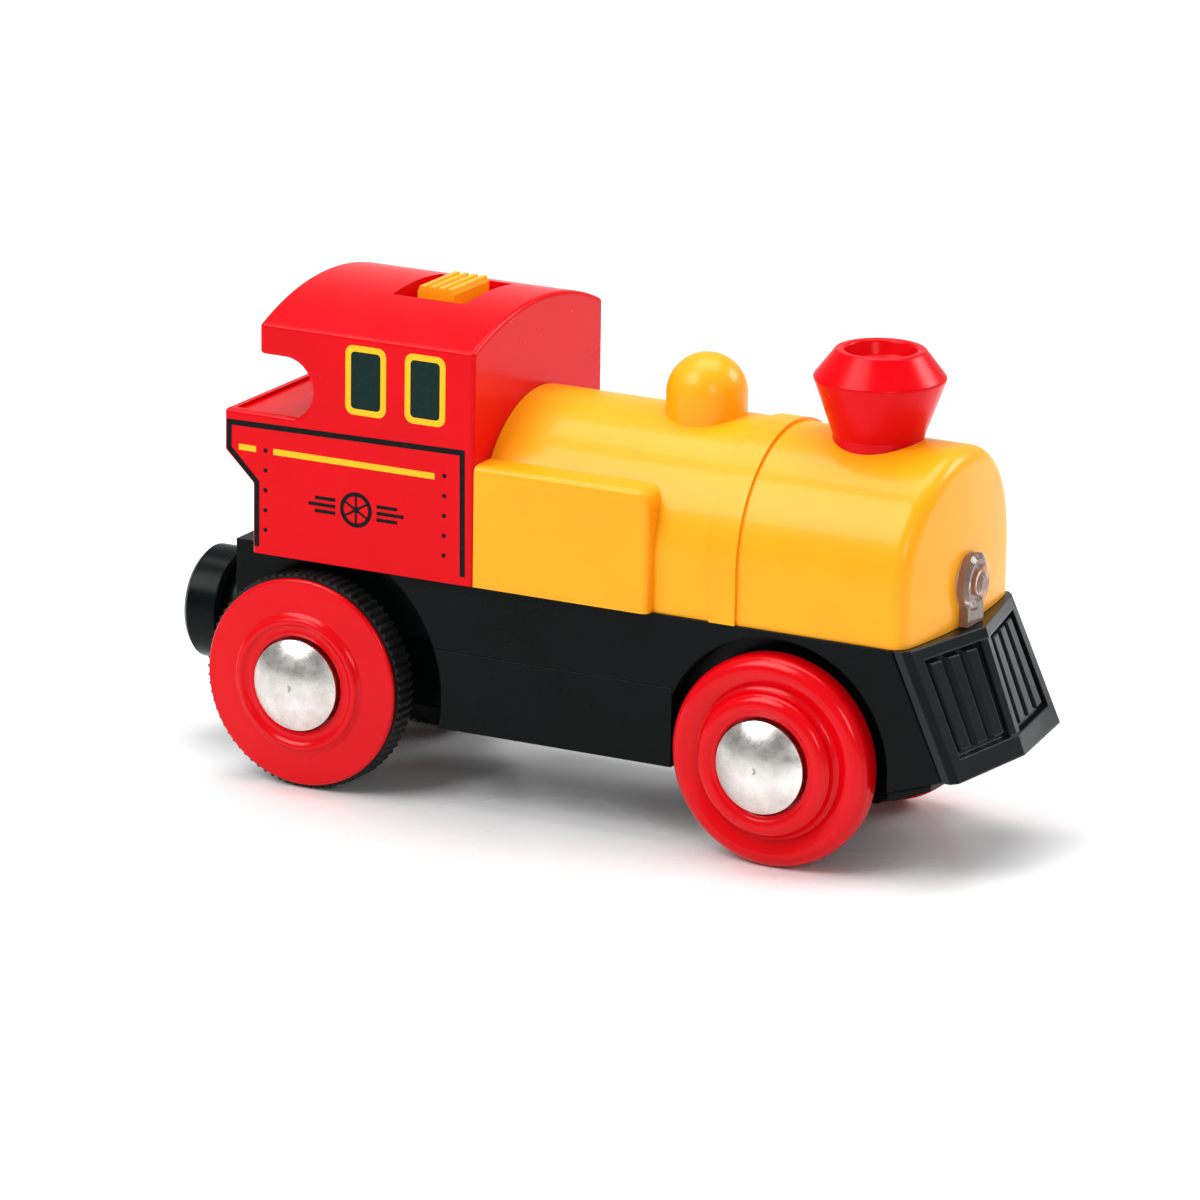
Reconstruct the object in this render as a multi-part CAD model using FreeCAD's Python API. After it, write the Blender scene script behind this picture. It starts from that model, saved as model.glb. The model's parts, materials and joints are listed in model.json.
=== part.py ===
"""Battery-driven toy steam locomotive for wooden railway track.

Frame: millimetres, +X to the front, +Y to the left side, +Z up, origin on the
floor under the middle of the overall box.
"""
import FreeCAD, Part
import math
import os

V = FreeCAD.Vector

# ---------------------------------------------------------------- driving sizes
# Plan and heights of the body
CAB_HALF_WIDTH = 15.0       # side face of the cab
CAB_FRONT_X = -9.0          # plane where cab and boiler meet
CAB_REAR_X = -36.8          # lower rear wall of the cab
TENDER_REAR_X = -40.4       # rear wall of the bunker above the slope
TENDER_TOP = 42.15
ROOF_REAR_X = -35.9
ROOF_UNDERSIDE = 48.85
EAVE_TOP = 52.25
LOOKOUT_ARC_X = -29.4       # rounded front end of the open lookout at the rear
LOOKOUT_ARC_Z = TENDER_TOP + 3.8
LOOKOUT_FLOOR_X = -31.4
LOOKOUT_ROOF_X = -32.9
SLOPE_LOW_Z = 33.95         # slope under the bunker
SLOPE_HIGH_Z = 37.35
ROOF_RISE = 3.25
BOILER_HALF_WIDTH = 13.6
BOILER_CENTRE_Z = 31.85      # axis of the boiler's round top
BOILER_CORNER_X = 42.3      # front face at its two side corners
BOILER_BULGE = 1.4          # how far the front face bulges at the middle
BAND_X = 19.5
BAND_WIDTH = 3.1
BAND_PROUD = 0.4
TANK_FRONT_X = 12.5
TANK_TOP = 39.75
TANK_HALF_WIDTH = 14.9
TANK_CORNER_R = 1.8
TANK_EDGE_R = 0.8
DOME_X = 11.8
DOME_R = 4.5
DOME_CENTRE_Z = 47.5
CHIMNEY_X = 32.6
CHIMNEY_RIM_R = 7.3
CHIMNEY_BASE_R = 5.0
CHIMNEY_TOP_R = 4.9
CHIMNEY_RIM_Z = 52.05
CHIMNEY_TOP_Z = 55.15
LAMP_Z = 30.75
LAMP_R = 3.25
LAMP_PROUD = 2.0
WALL = 1.5                  # moulded shell walls
CAB_EDGE_R = 0.5
DOORWAY_STEP = 0.4          # how much the cab's front opening is inside the boiler's wall

# Chassis
CHASSIS_TOP = 26.05
CHASSIS_BOTTOM = 8.95
CHASSIS_HALF_WIDTH = 13.9
CORE_HALF_WIDTH = 10.9      # narrow part between the wheels
CORE_WALL = 1.45
CORE_REAR_X = -41.2
WIDE_REAR_X = -19.9         # where the chassis widens in front of the rear wells
FLOOR_THICK = 1.0
DECK_THICK = 1.1
COVER_SEAM_Z = 17.95
COVER_FRONT_X = 15.2
FRONT_WELL_R = 13.5
REAR_WELL_R = 16.5

# Cowcatcher: top and bottom edge of each half of the vee
VEE_TOP_X = 45.9
VEE_TOP_SWEEP = 3.0
VEE_TOP_HALF_WIDTH = 13.7
VEE_BOTTOM_X = 51.0
VEE_BOTTOM_SWEEP = 1.8
VEE_BOTTOM_HALF_WIDTH = 13.8
VEE_BOTTOM_Z = 12.3
VEE_FRAME_DEPTH = 0.8
VEE_BACK_DEPTH = 0.8
VEE_TOP_RAIL = 0.09         # shares of the face's height
VEE_FOOT_RAIL = 0.16
VEE_POST = 0.18             # shares of the half width
VEE_BEVEL = 0.06
VEE_BARS = 3                # raised bars on each half, with half a bar at the apex
VEE_BAR_GAP = 0.055
VEE_BAR_SLOPE = 0.02
VEE_BAR_DEPTH = 0.2         # how far the bars stay behind the frame

# Running gear
FRONT_AXLE_X = 27.66
REAR_AXLE_X = -29.85
FRONT_WHEEL_R = 11.85
TYRE_R = 12.3
REAR_DISC_R = 11.85
TYRE_RIBS = 76
TYRE_RIB_DEPTH = 0.3
AXLE_R = 1.25
WHEEL_INNER_Y = 12.4
WHEEL_BOSS_Y = 11.2         # inner end of the wheels' bosses
WHEEL_BOSS_R = 3.2
FRONT_RIM_Y = 15.95         # crest of the front wheels' rounded rim
DISC_BACK_Y = 15.6          # where the rear disc meets its tyre
HUB_RING_Y = 17.3           # crest of the ring round the cap
HUB_CAP_Y = 17.5            # rim of the domed cap
HUB_SEAT_DEPTH = 1.5
HUB_DOME_R = 5.2
HUB_DOME_RISE = 1.6
HUB_SEAT_R = 5.5

# Battery, one R6 (AA) cell
CELL_R = 7.25
CELL_BODY_LENGTH = 49.5
CELL_NUB_R = 2.75
CELL_NUB_LENGTH = 1.0
CELL_REAR_X = -25.5

# Gear train, straight spur teeth
MODULE = 0.4
PRESSURE_ANGLE = 25.0
TOOTH_ADDENDUM = 0.75       # in modules
TOOTH_DEDENDUM = 1.0
TOOTH_BACKLASH = 0.1        # taken off each tooth's thickness
AXLE_TEETH = 20
IDLER_TEETH = 32
PINION_TEETH = 10
WHEEL_TEETH = 30
LANE_Y = 7.7                # the three gear layers, from outside to inside
LANE_WIDTH = 1.4
LAYER_ONE_Y = 5.3
LAYER_ONE_WIDTH = 1.6
LAYER_TWO_Y = 3.5
LAYER_TWO_WIDTH = 1.2
IDLER_DIRECTION = 80.0      # direction of each centre from the one before
GEAR_B_DIRECTION = 57.0
GEAR_A_DIRECTION = 30.0
MOTOR_DIRECTION = 125.0
ARBOR_R = 0.6
MOTOR_R = 6.0
MOTOR_FLAT = 5.0
MOTOR_LENGTH = 14.2
MOTOR_SHAFT_R = 0.5
AXLE_HUB_WALL = 0.45

# Roof switch
SWITCH_X = -19.85
KNOB_LENGTH = 4.6
KNOB_WIDTH = 8.0
KNOB_PROUD = 0.55
KNOB_TRAVEL = 1.95
KNOB_RIDGES = 4
RECESS_HALF_WIDTH = 5.5
RECESS_DEPTH = 2.2

# Rear coupling
BARREL_R = 6.5
BARREL_Z = 14.85
BARREL_REAR_X = -51.0
BARREL_LENGTH = 4.7
NECK_R = 4.8
MAGNET_R = 4.8
MAGNET_LENGTH = 3.4

# Screws
SCREW_R = 1.0
SCREW_HEAD_R = 1.9
SCREW_CLEARANCE = 0.1
SCREW_HEAD_HEIGHT = 1.2
SCREW_LENGTH = 7.0
COVER_SCREW_X = 2.0
COVER_SCREW_Y = 11.7
FRONT_SCREW_X = 36.5
FRONT_SCREW_Y = 7.0

# Small pieces
LED_R = 1.7
LAMP_STEM_HALF_WIDTH = 2.0
CHIMNEY_SPIGOT_R = 3.0
TYRE_THICK = 1.2
TYRE_LIP_R = 7.0            # inner lip that covers the back of the drum
TYRE_LIP_THICK = 0.6
PIN_R = 1.7
PIN_DEPTH = 3.0
KEEPER_THICK = 1.2
FOOT_THICK = 0.8
FRONT_POST_WIDTH = 3.0
KEEPER_HEAD_SINK = 0.7
KEEPER_HEAD_HEIGHT = 0.6
KEEPER_SCREW_Y = 5.5
COVER_HEAD_SINK = 1.4

# Fits
RUNNING_FIT = 0.05          # radial, shaft in its bearing
SEAT_GAP = 0.05             # fixed pieces side by side
MOVING_GAP = 0.35           # pieces that move past each other

# ---------------------------------------------------------------- derived sizes
FRONT_AXLE_Z = FRONT_WHEEL_R
REAR_AXLE_Z = TYRE_R
CELL_Z = CHASSIS_BOTTOM + FLOOR_THICK + MOVING_GAP + CELL_R
CELL_FRONT_X = CELL_REAR_X + CELL_BODY_LENGTH + CELL_NUB_LENGTH
CONTACT_THICK = 0.4
BAY_REAR_X = CELL_REAR_X - 1.1
BAY_FRONT_X = CELL_FRONT_X + 2 * SEAT_GAP + CONTACT_THICK + SEAT_GAP
BAY_HALF_WIDTH = CELL_R + 0.3
BAY_TOP = CELL_Z + CELL_R + 0.25
DECK_TOP = CHASSIS_TOP + DECK_THICK
CORE_INSIDE = CORE_HALF_WIDTH - CORE_WALL
CAB_INSIDE = CAB_HALF_WIDTH - WALL
BOILER_INSIDE = BOILER_HALF_WIDTH - WALL
BOILER_TOP = BOILER_CENTRE_Z + BOILER_HALF_WIDTH
BOILER_FRONT_X = BOILER_CORNER_X + BOILER_BULGE
LED_REAR_X = BOILER_CORNER_X - 6.2
KNOB_FLOOR = EAVE_TOP + ROOF_RISE - RECESS_DEPTH
TRAY_BOTTOM = KNOB_FLOOR - WALL
BOARD_TOP = TRAY_BOTTOM - 1.8
BOARD_THICK = 0.8


# ---------------------------------------------------------------- small helpers
def box(x0, x1, y0, y1, z0, z1):
    return Part.makeBox(x1 - x0, y1 - y0, z1 - z0, V(x0, y0, z0))


def rod_x(radius, x0, x1, y=0.0, z=0.0):
    return Part.makeCylinder(radius, x1 - x0, V(x0, y, z), V(1, 0, 0))


def rod_y(radius, y0, y1, x=0.0, z=0.0):
    return Part.makeCylinder(radius, y1 - y0, V(x, y0, z), V(0, 1, 0))


def rod_z(radius, z0, z1, x=0.0, y=0.0):
    return Part.makeCylinder(radius, z1 - z0, V(x, y, z0), V(0, 0, 1))


def prism_y(points, y0, y1):
    """Extrude an outline of (x, z) points along Y."""
    corners = [V(x, y0, z) for x, z in points]
    face = Part.Face(Part.makePolygon(corners + corners[:1]))
    return face.extrude(V(0, y1 - y0, 0))


def spin(profile, centre, axis):
    """Solid of revolution from (radius, distance along the axis) points."""
    side = V(0, 0, 1) if abs(axis.z) < 0.5 else V(1, 0, 0)
    corners = [centre + side * r + axis * a for r, a in profile]
    face = Part.Face(Part.makePolygon(corners + corners[:1]))
    return face.revolve(centre, axis, 360)


def mirrored(shape):
    """The same piece on the other side of the centre plane."""
    return shape.mirror(V(0, 0, 0), V(0, 1, 0))


def at_sides(make):
    """Fuse make(+1) and make(-1), one for each side of the centre plane."""
    return make(1).fuse(make(-1))


def side_box(side, x0, x1, y0, y1, z0, z1):
    """A box whose y range is measured outwards on the given side."""
    low, high = sorted((side * y0, side * y1))
    return box(x0, x1, low, high, z0, z1)


def fillet_where(shape, radius, test):
    """Round every edge that passes the test."""
    solid = shape.Solids[0]
    return solid.makeFillet(radius, [edge for edge in solid.Edges if test(edge)]).Solids[0]


def middle(edge):
    return edge.valueAt((edge.FirstParameter + edge.LastParameter) / 2)


def save(name, shape):
    """Write one node; a node of a single solid is cleaned of leftover seams."""
    if len(shape.Solids) == 1:
        shape = shape.Solids[0].removeSplitter()
    shape.exportStep("parts/" + name + ".step")


def group(shapes):
    return Part.makeCompound(shapes)


# ---------------------------------------------------------------- gears
def turn_centre(start, distance, direction):
    """Point at a distance and direction (degrees from +X towards +Z)."""
    angle = math.radians(direction)
    return (start[0] + distance * math.cos(angle), start[1] + distance * math.sin(angle))


def pitch_radius(teeth):
    return MODULE * teeth / 2


def centre_distance(teeth_a, teeth_b):
    return pitch_radius(teeth_a) + pitch_radius(teeth_b)


def tooth_half_angle(radius, teeth):
    """Half of a tooth's thickness, as an angle, at one radius of an involute."""
    pitch = pitch_radius(teeth)
    base = pitch * math.cos(math.radians(PRESSURE_ANGLE))
    at_pitch = (math.pi * MODULE / 2 - TOOTH_BACKLASH) / (2 * pitch)
    start = math.radians(PRESSURE_ANGLE)
    involute_start = math.tan(start) - start
    angle = math.acos(min(1.0, base / radius))
    return at_pitch + involute_start - (math.tan(angle) - angle)


def gear(centre, teeth, phase, y0, y1):
    """Spur gear about an axis along Y with a tooth's middle at the phase angle."""
    pitch = pitch_radius(teeth)
    root = pitch - TOOTH_DEDENDUM * MODULE
    tip = pitch + TOOTH_ADDENDUM * MODULE
    base = max(root, pitch * math.cos(math.radians(PRESSURE_ANGLE)))
    steps = 3
    flank = [base + (tip - base) * i / steps for i in range(steps + 1)]
    radii = [root] + flank
    points = []
    for k in range(teeth):
        middle_angle = phase + 2 * math.pi * k / teeth
        rising = [(r, middle_angle - tooth_half_angle(r, teeth)) for r in radii]
        falling = [(r, middle_angle + tooth_half_angle(r, teeth)) for r in reversed(radii)]
        points += rising + falling
    outline = [(centre[0] + r * math.cos(a), centre[1] + r * math.sin(a)) for r, a in points]
    return prism_y(outline, y0, y1)


def meshing_phase(phase, teeth, direction, other_teeth):
    """Phase that puts the other gear's gap on this gear's tooth."""
    angle = math.radians(direction)
    own = (angle - phase) * teeth / (2 * math.pi)
    other = 0.5 - own
    return angle + math.pi - 2 * math.pi * other / other_teeth


def bored(shape, radius, centre):
    return shape.cut(rod_y(radius, -CAB_HALF_WIDTH, CAB_HALF_WIDTH, centre[0], centre[1]))


AXLE_CENTRE = (REAR_AXLE_X, REAR_AXLE_Z)
IDLER_CENTRE = turn_centre(AXLE_CENTRE, centre_distance(AXLE_TEETH, IDLER_TEETH), IDLER_DIRECTION)
GEAR_B_CENTRE = turn_centre(IDLER_CENTRE, centre_distance(IDLER_TEETH, PINION_TEETH), GEAR_B_DIRECTION)
GEAR_A_CENTRE = turn_centre(GEAR_B_CENTRE, centre_distance(WHEEL_TEETH, PINION_TEETH), GEAR_A_DIRECTION)
MOTOR_CENTRE = turn_centre(GEAR_A_CENTRE, centre_distance(WHEEL_TEETH, PINION_TEETH), MOTOR_DIRECTION)
AXLE_PHASE = 0.0
IDLER_PHASE = meshing_phase(AXLE_PHASE, AXLE_TEETH, IDLER_DIRECTION, IDLER_TEETH)
GEAR_B_PHASE = meshing_phase(IDLER_PHASE, IDLER_TEETH, GEAR_B_DIRECTION, PINION_TEETH)
GEAR_A_PHASE = meshing_phase(GEAR_B_PHASE, WHEEL_TEETH, GEAR_A_DIRECTION, PINION_TEETH)
MOTOR_PHASE = meshing_phase(GEAR_A_PHASE, WHEEL_TEETH, MOTOR_DIRECTION, PINION_TEETH)
LANE = (LANE_Y, LANE_Y + LANE_WIDTH)
LAYER_ONE = (LAYER_ONE_Y, LAYER_ONE_Y + LAYER_ONE_WIDTH)
LAYER_TWO = (LAYER_TWO_Y, LAYER_TWO_Y + LAYER_TWO_WIDTH)
INNER_PLATE = (LAYER_TWO_Y - 0.3 - 1.0, LAYER_TWO_Y - 0.3)
OUTER_PLATE = (CORE_INSIDE, CORE_INSIDE + 1.0)


def make_axle_gear():
    shape = gear(AXLE_CENTRE, AXLE_TEETH, AXLE_PHASE, *LANE)
    hub = rod_y(AXLE_R + AXLE_HUB_WALL, LAYER_ONE_Y, LANE[0] + 0.1, *AXLE_CENTRE)
    return bored(shape.fuse(hub), AXLE_R, AXLE_CENTRE)


def make_idler_gear():
    shape = gear(IDLER_CENTRE, IDLER_TEETH, IDLER_PHASE, *LANE)
    return bored(shape, ARBOR_R + RUNNING_FIT, IDLER_CENTRE)


def compound_gear(centre, phase, wheel_layer, pinion_layer):
    """A large wheel and a small pinion moulded in one, on one arbor."""
    wheel = gear(centre, WHEEL_TEETH, phase, *wheel_layer)
    pinion = gear(centre, PINION_TEETH, phase, wheel_layer[1] - 0.1, pinion_layer[1])
    return bored(wheel.fuse(pinion), ARBOR_R + RUNNING_FIT, centre)


def make_motor_pinion():
    shape = gear(MOTOR_CENTRE, PINION_TEETH, MOTOR_PHASE, *LAYER_TWO)
    return bored(shape, MOTOR_SHAFT_R, MOTOR_CENTRE)


def make_motor_shaft():
    return rod_y(MOTOR_SHAFT_R, INNER_PLATE[0] + 0.35, LAYER_TWO[1] + 0.2, *MOTOR_CENTRE)


def make_gear_arbors():
    top = OUTER_PLATE[1] - 0.2
    idler = rod_y(ARBOR_R, LANE[0] - 0.15, CORE_HALF_WIDTH - 0.3, *IDLER_CENTRE)
    gear_b = rod_y(ARBOR_R, INNER_PLATE[0] + 0.2, top, *GEAR_B_CENTRE)
    gear_a = rod_y(ARBOR_R, INNER_PLATE[0] + 0.2, top, *GEAR_A_CENTRE)
    return group([idler, gear_b, gear_a])


# ---------------------------------------------------------------- drive unit
def make_motor_can():
    front = INNER_PLATE[0]
    can = rod_y(MOTOR_R, front - MOTOR_LENGTH, front, *MOTOR_CENTRE)
    x, z = MOTOR_CENTRE
    flats = box(x - MOTOR_R, x + MOTOR_R, front - MOTOR_LENGTH, front, z - MOTOR_FLAT, z + MOTOR_FLAT)
    boss = rod_y(1.5, front - MOTOR_LENGTH - 0.8, front - MOTOR_LENGTH, *MOTOR_CENTRE)
    nose = rod_y(1.5, front, front + 0.3, *MOTOR_CENTRE)
    return can.common(flats).fuse([boss, nose])


def gearbox_plate(low_y, high_y, outline, centres):
    plate = prism_y(outline, low_y, high_y)
    for centre, radius in centres:
        plate = plate.cut(rod_y(radius, low_y - 1, high_y + 1, *centre))
    return plate


def make_gearbox_plate_inner():
    left = GEAR_B_CENTRE[0] - 3
    right = GEAR_A_CENTRE[0] + 3
    top = MOTOR_CENTRE[1]
    outline = [(left, DECK_TOP), (right, DECK_TOP), (right, GEAR_A_CENTRE[1] + 2)]
    outline += [(MOTOR_CENTRE[0] + 4, top + 4), (MOTOR_CENTRE[0] - 4, top + 4), (left, top)]
    holes = [(GEAR_B_CENTRE, ARBOR_R), (GEAR_A_CENTRE, ARBOR_R), (MOTOR_CENTRE, 1.6)]
    return gearbox_plate(INNER_PLATE[0], INNER_PLATE[1], outline, holes)


def make_gearbox_plate_outer():
    left = GEAR_B_CENTRE[0] - 3
    right = GEAR_A_CENTRE[0] + 2.4
    outline = [(left, DECK_TOP), (right, DECK_TOP), (right, GEAR_A_CENTRE[1] + 2)]
    outline += [(left, GEAR_B_CENTRE[1] + 2.5)]
    holes = [(GEAR_B_CENTRE, ARBOR_R), (GEAR_A_CENTRE, ARBOR_R)]
    return gearbox_plate(OUTER_PLATE[0], OUTER_PLATE[1], outline, holes)


# ---------------------------------------------------------------- cowcatcher
def vee_point(s, t, depth, side):
    """Point on one face of the vee: s from the apex outwards, t from the top down."""
    x_top = VEE_TOP_X - VEE_TOP_SWEEP * s
    x_bottom = VEE_BOTTOM_X - VEE_BOTTOM_SWEEP * s
    y_top = VEE_TOP_HALF_WIDTH * s
    y_bottom = VEE_BOTTOM_HALF_WIDTH * s
    x = x_top + (x_bottom - x_top) * t - depth
    y = y_top + (y_bottom - y_top) * t
    z = CHASSIS_TOP - SEAT_GAP + (VEE_BOTTOM_Z - CHASSIS_TOP) * t
    return V(x, side * y, z)


def vee_patch(s0, s1, t0, t1, depth0, depth1, side):
    """Block that follows one face of the vee between two depths."""
    wires = []
    for t in (t0, t1):
        ring = [vee_point(s0, t, depth0, side), vee_point(s1, t, depth0, side)]
        ring += [vee_point(s1, t, depth1, side), vee_point(s0, t, depth1, side)]
        wires.append(Part.makePolygon(ring + ring[:1]))
    return Part.makeLoft(wires, True, True)


def vee_pad(s0, s1, t0, t1, depth, base, slope, side):
    """Raised pad on one face of the vee with sloping edges on all four sides."""
    wires = []
    for t, level in ((t0, base - 0.05), (t0 + slope, depth), (t1 - slope, depth), (t1, base - 0.05)):
        ring = [vee_point(s0, t, base, side), vee_point(s0 + slope, t, level, side)]
        ring += [vee_point(s1 - slope, t, level, side), vee_point(s1, t, base, side)]
        wires.append(Part.makePolygon(ring + ring[:1]))
    return Part.makeLoft(wires, True, True)


def cowcatcher_half(side):
    """Half of the vee: back plate, frame with a bevelled outer edge, raised bars."""
    back = vee_patch(0, 1, 0, 1, VEE_FRAME_DEPTH, VEE_FRAME_DEPTH + VEE_BACK_DEPTH, side)
    pieces = [vee_patch(0, 1 - VEE_BEVEL, 0, VEE_TOP_RAIL, 0, VEE_FRAME_DEPTH, side)]
    pieces.append(vee_patch(0, 1 - VEE_BEVEL, 1 - VEE_FOOT_RAIL, 1, 0, VEE_FRAME_DEPTH, side))
    pieces.append(vee_patch(1 - VEE_POST, 1 - VEE_BEVEL, 0, 1, 0, VEE_FRAME_DEPTH, side))
    wires = []
    for t in (0, 1):
        ring = [vee_point(1 - VEE_BEVEL, t, 0, side), vee_point(1, t, 0.7 * VEE_FRAME_DEPTH, side)]
        ring += [vee_point(1, t, VEE_FRAME_DEPTH, side), vee_point(1 - VEE_BEVEL, t, VEE_FRAME_DEPTH, side)]
        wires.append(Part.makePolygon(ring + ring[:1]))
    pieces.append(Part.makeLoft(wires, True, True))
    top = VEE_TOP_RAIL + VEE_BAR_GAP / 2
    foot = 1 - VEE_FOOT_RAIL - VEE_BAR_GAP / 2
    width = (1 - VEE_POST - (VEE_BARS + 1) * VEE_BAR_GAP) / (VEE_BARS + 0.5)
    for k in range(VEE_BARS):
        outer = 1 - VEE_POST - VEE_BAR_GAP - k * (width + VEE_BAR_GAP)
        pieces.append(vee_pad(outer - width, outer, top, foot, VEE_BAR_DEPTH, VEE_FRAME_DEPTH + 0.1,
                              VEE_BAR_SLOPE, side))
    pieces.append(vee_patch(0, width / 2, VEE_TOP_RAIL / 2, 1 - VEE_FOOT_RAIL / 2, VEE_BAR_DEPTH,
                            VEE_FRAME_DEPTH, side))
    return back.fuse(pieces)


def make_cowcatcher():
    return at_sides(cowcatcher_half)


# ---------------------------------------------------------------- chassis
def rear_well(radius, low_z=CHASSIS_BOTTOM - 5):
    """Space for a rear wheel on both sides, open at the bottom."""
    x, z = AXLE_CENTRE

    def one(side):
        low, high = sorted((side * CORE_HALF_WIDTH, side * (CAB_HALF_WIDTH + 3)))
        round_part = rod_y(radius, low, high, x, z)
        behind = box(x - 30, x, low, high, low_z, CHASSIS_TOP)
        below = box(x, x + radius * 0.93, low, high, low_z, z - radius * 0.36)
        return round_part.fuse([behind, below])

    return at_sides(one).common(box(-60, 60, -30, 30, low_z, CHASSIS_TOP))


def front_well(radius):
    """Space for a front wheel on both sides, open at the bottom."""
    def one(side):
        low, high = sorted((side * CORE_HALF_WIDTH, side * (CAB_HALF_WIDTH + 3)))
        round_part = rod_y(radius, low, high, FRONT_AXLE_X, FRONT_AXLE_Z)
        below = box(FRONT_AXLE_X - radius, FRONT_AXLE_X + radius, low, high, 0, FRONT_AXLE_Z)
        return round_part.fuse(below)

    return at_sides(one).common(box(-60, 60, -30, 30, 0, CHASSIS_TOP))


def axle_slot(x, z):
    """Round seat for an axle with a slot down to the underside."""
    radius = AXLE_R + RUNNING_FIT
    seat = rod_y(radius, -CORE_HALF_WIDTH - 1, CORE_HALF_WIDTH + 1, x, z)
    slot = box(x - radius, x + radius, -CORE_HALF_WIDTH - 1, CORE_HALF_WIDTH + 1, 0, z)
    return seat.fuse(slot)


FRONT_BLOCK_X = FRONT_AXLE_X + AXLE_R + 3.6
NOSE_DEPTH = VEE_FRAME_DEPTH + VEE_BACK_DEPTH + SEAT_GAP
NOSE_FRONT_X = VEE_TOP_X - VEE_TOP_SWEEP - NOSE_DEPTH
NOSE_BLOCK_X = NOSE_FRONT_X - 1.4   # where the slanting nose starts
NOSE_FOOT_X = VEE_BOTTOM_X - VEE_BOTTOM_SWEEP - NOSE_DEPTH
NOSE_HEEL_X = FRONT_AXLE_X + FRONT_WELL_R
NOSE_HEEL_Z = CHASSIS_BOTTOM + 1.25
GEAR_WINDOW = (IDLER_CENTRE[0] - 7.2, GEAR_B_CENTRE[0] + 7.2)
KEEPER_JOIN_X = BAY_REAR_X - 1.35
KEEPER_SCREW_X = (CORE_REAR_X + 2.6, FRONT_BLOCK_X - 1.8)
BOSS_R = 2.1
BODY_SCREWS = [(CAB_FRONT_X - WALL - SCREW_R, CAB_INSIDE - BOSS_R - 0.1),
               (FRONT_SCREW_X, FRONT_SCREW_Y)]


def nose_underside(x):
    """Height of the nose's slanting underside."""
    slope = (VEE_BOTTOM_Z - NOSE_HEEL_Z) / (NOSE_FOOT_X - NOSE_HEEL_X)
    return NOSE_HEEL_Z + slope * (x - NOSE_HEEL_X)


def under_nose():
    """Space below the nose, in front of the wheel wells."""
    low = CHASSIS_BOTTOM - 5
    return prism_y([(NOSE_HEEL_X, low), (VEE_BOTTOM_X, low), (VEE_BOTTOM_X, VEE_BOTTOM_Z),
                    (NOSE_FOOT_X, VEE_BOTTOM_Z), (NOSE_HEEL_X, NOSE_HEEL_Z)],
                   -CAB_HALF_WIDTH, CAB_HALF_WIDTH)


def chassis_blocks():
    """Outer shape of the chassis before it is hollowed."""
    core = box(CORE_REAR_X, NOSE_BLOCK_X, -CORE_HALF_WIDTH, CORE_HALF_WIDTH,
               CHASSIS_BOTTOM, CHASSIS_TOP)
    wide = box(WIDE_REAR_X, NOSE_BLOCK_X, -CHASSIS_HALF_WIDTH, CHASSIS_HALF_WIDTH,
               CHASSIS_BOTTOM, CHASSIS_TOP)
    nose = at_sides(lambda side: vee_patch(0, 1, 0, 1, NOSE_DEPTH, NOSE_DEPTH + 4.4, side))
    side_outline = [(FRONT_AXLE_X, CHASSIS_TOP), (NOSE_FRONT_X, CHASSIS_TOP), (NOSE_FOOT_X, VEE_BOTTOM_Z),
                    (NOSE_HEEL_X, CHASSIS_BOTTOM), (FRONT_AXLE_X, CHASSIS_BOTTOM)]
    cheeks = prism_y(side_outline, -CHASSIS_HALF_WIDTH, CHASSIS_HALF_WIDTH)
    body = core.fuse([wide, nose, cheeks])
    cab_deck = box(CAB_REAR_X + WALL + SEAT_GAP, CAB_FRONT_X - WALL - SEAT_GAP, -CAB_INSIDE + SEAT_GAP,
                   CAB_INSIDE - SEAT_GAP, CHASSIS_TOP, DECK_TOP)
    half = BOILER_INSIDE - DOORWAY_STEP - SEAT_GAP
    boiler_deck = box(CAB_FRONT_X - WALL - 1, NOSE_BLOCK_X, -half, half, CHASSIS_TOP, DECK_TOP)
    body = body.cut([rear_well(REAR_WELL_R), front_well(FRONT_WELL_R), under_nose()])
    return body.fuse([cab_deck, boiler_deck])


def cover_space(gap):
    """Space of the battery cover in the chassis, grown by a gap."""
    rear = REAR_AXLE_X + 8
    sides = box(rear, COVER_FRONT_X + gap, -CAB_HALF_WIDTH, CAB_HALF_WIDTH,
                CHASSIS_BOTTOM - 1, COVER_SEAM_Z + gap)
    inner = box(rear, COVER_FRONT_X + 2, -CORE_INSIDE, CORE_INSIDE, CHASSIS_BOTTOM - 2, COVER_SEAM_Z + 1)
    floor = box(rear, COVER_FRONT_X + gap, -CAB_HALF_WIDTH, CAB_HALF_WIDTH,
                CHASSIS_BOTTOM - 1, CHASSIS_BOTTOM + FLOOR_THICK + gap)
    return sides.cut(inner).fuse(floor)


def make_motor_cradle():
    """Ribs on the deck that carry the motor, with a cheek on each side."""
    x, z = MOTOR_CENTRE
    first = INNER_PLATE[0] - MOTOR_LENGTH + 1.5
    ribs = []
    for y in (first, first + MOTOR_LENGTH - 5.5):
        ribs.append(box(x - 4, x + 4, y, y + 1.4, DECK_TOP - 0.2, z - MOTOR_FLAT - SEAT_GAP))
    left = box(x - MOTOR_R - 1.3, x - MOTOR_R - SEAT_GAP, first, first + 1.4, DECK_TOP - 0.2, z)
    right = box(x + MOTOR_R + SEAT_GAP, x + MOTOR_R + 1.3, first, first + 1.4, DECK_TOP - 0.2, z)
    return ribs[0].fuse([ribs[1], left, right])


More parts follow.
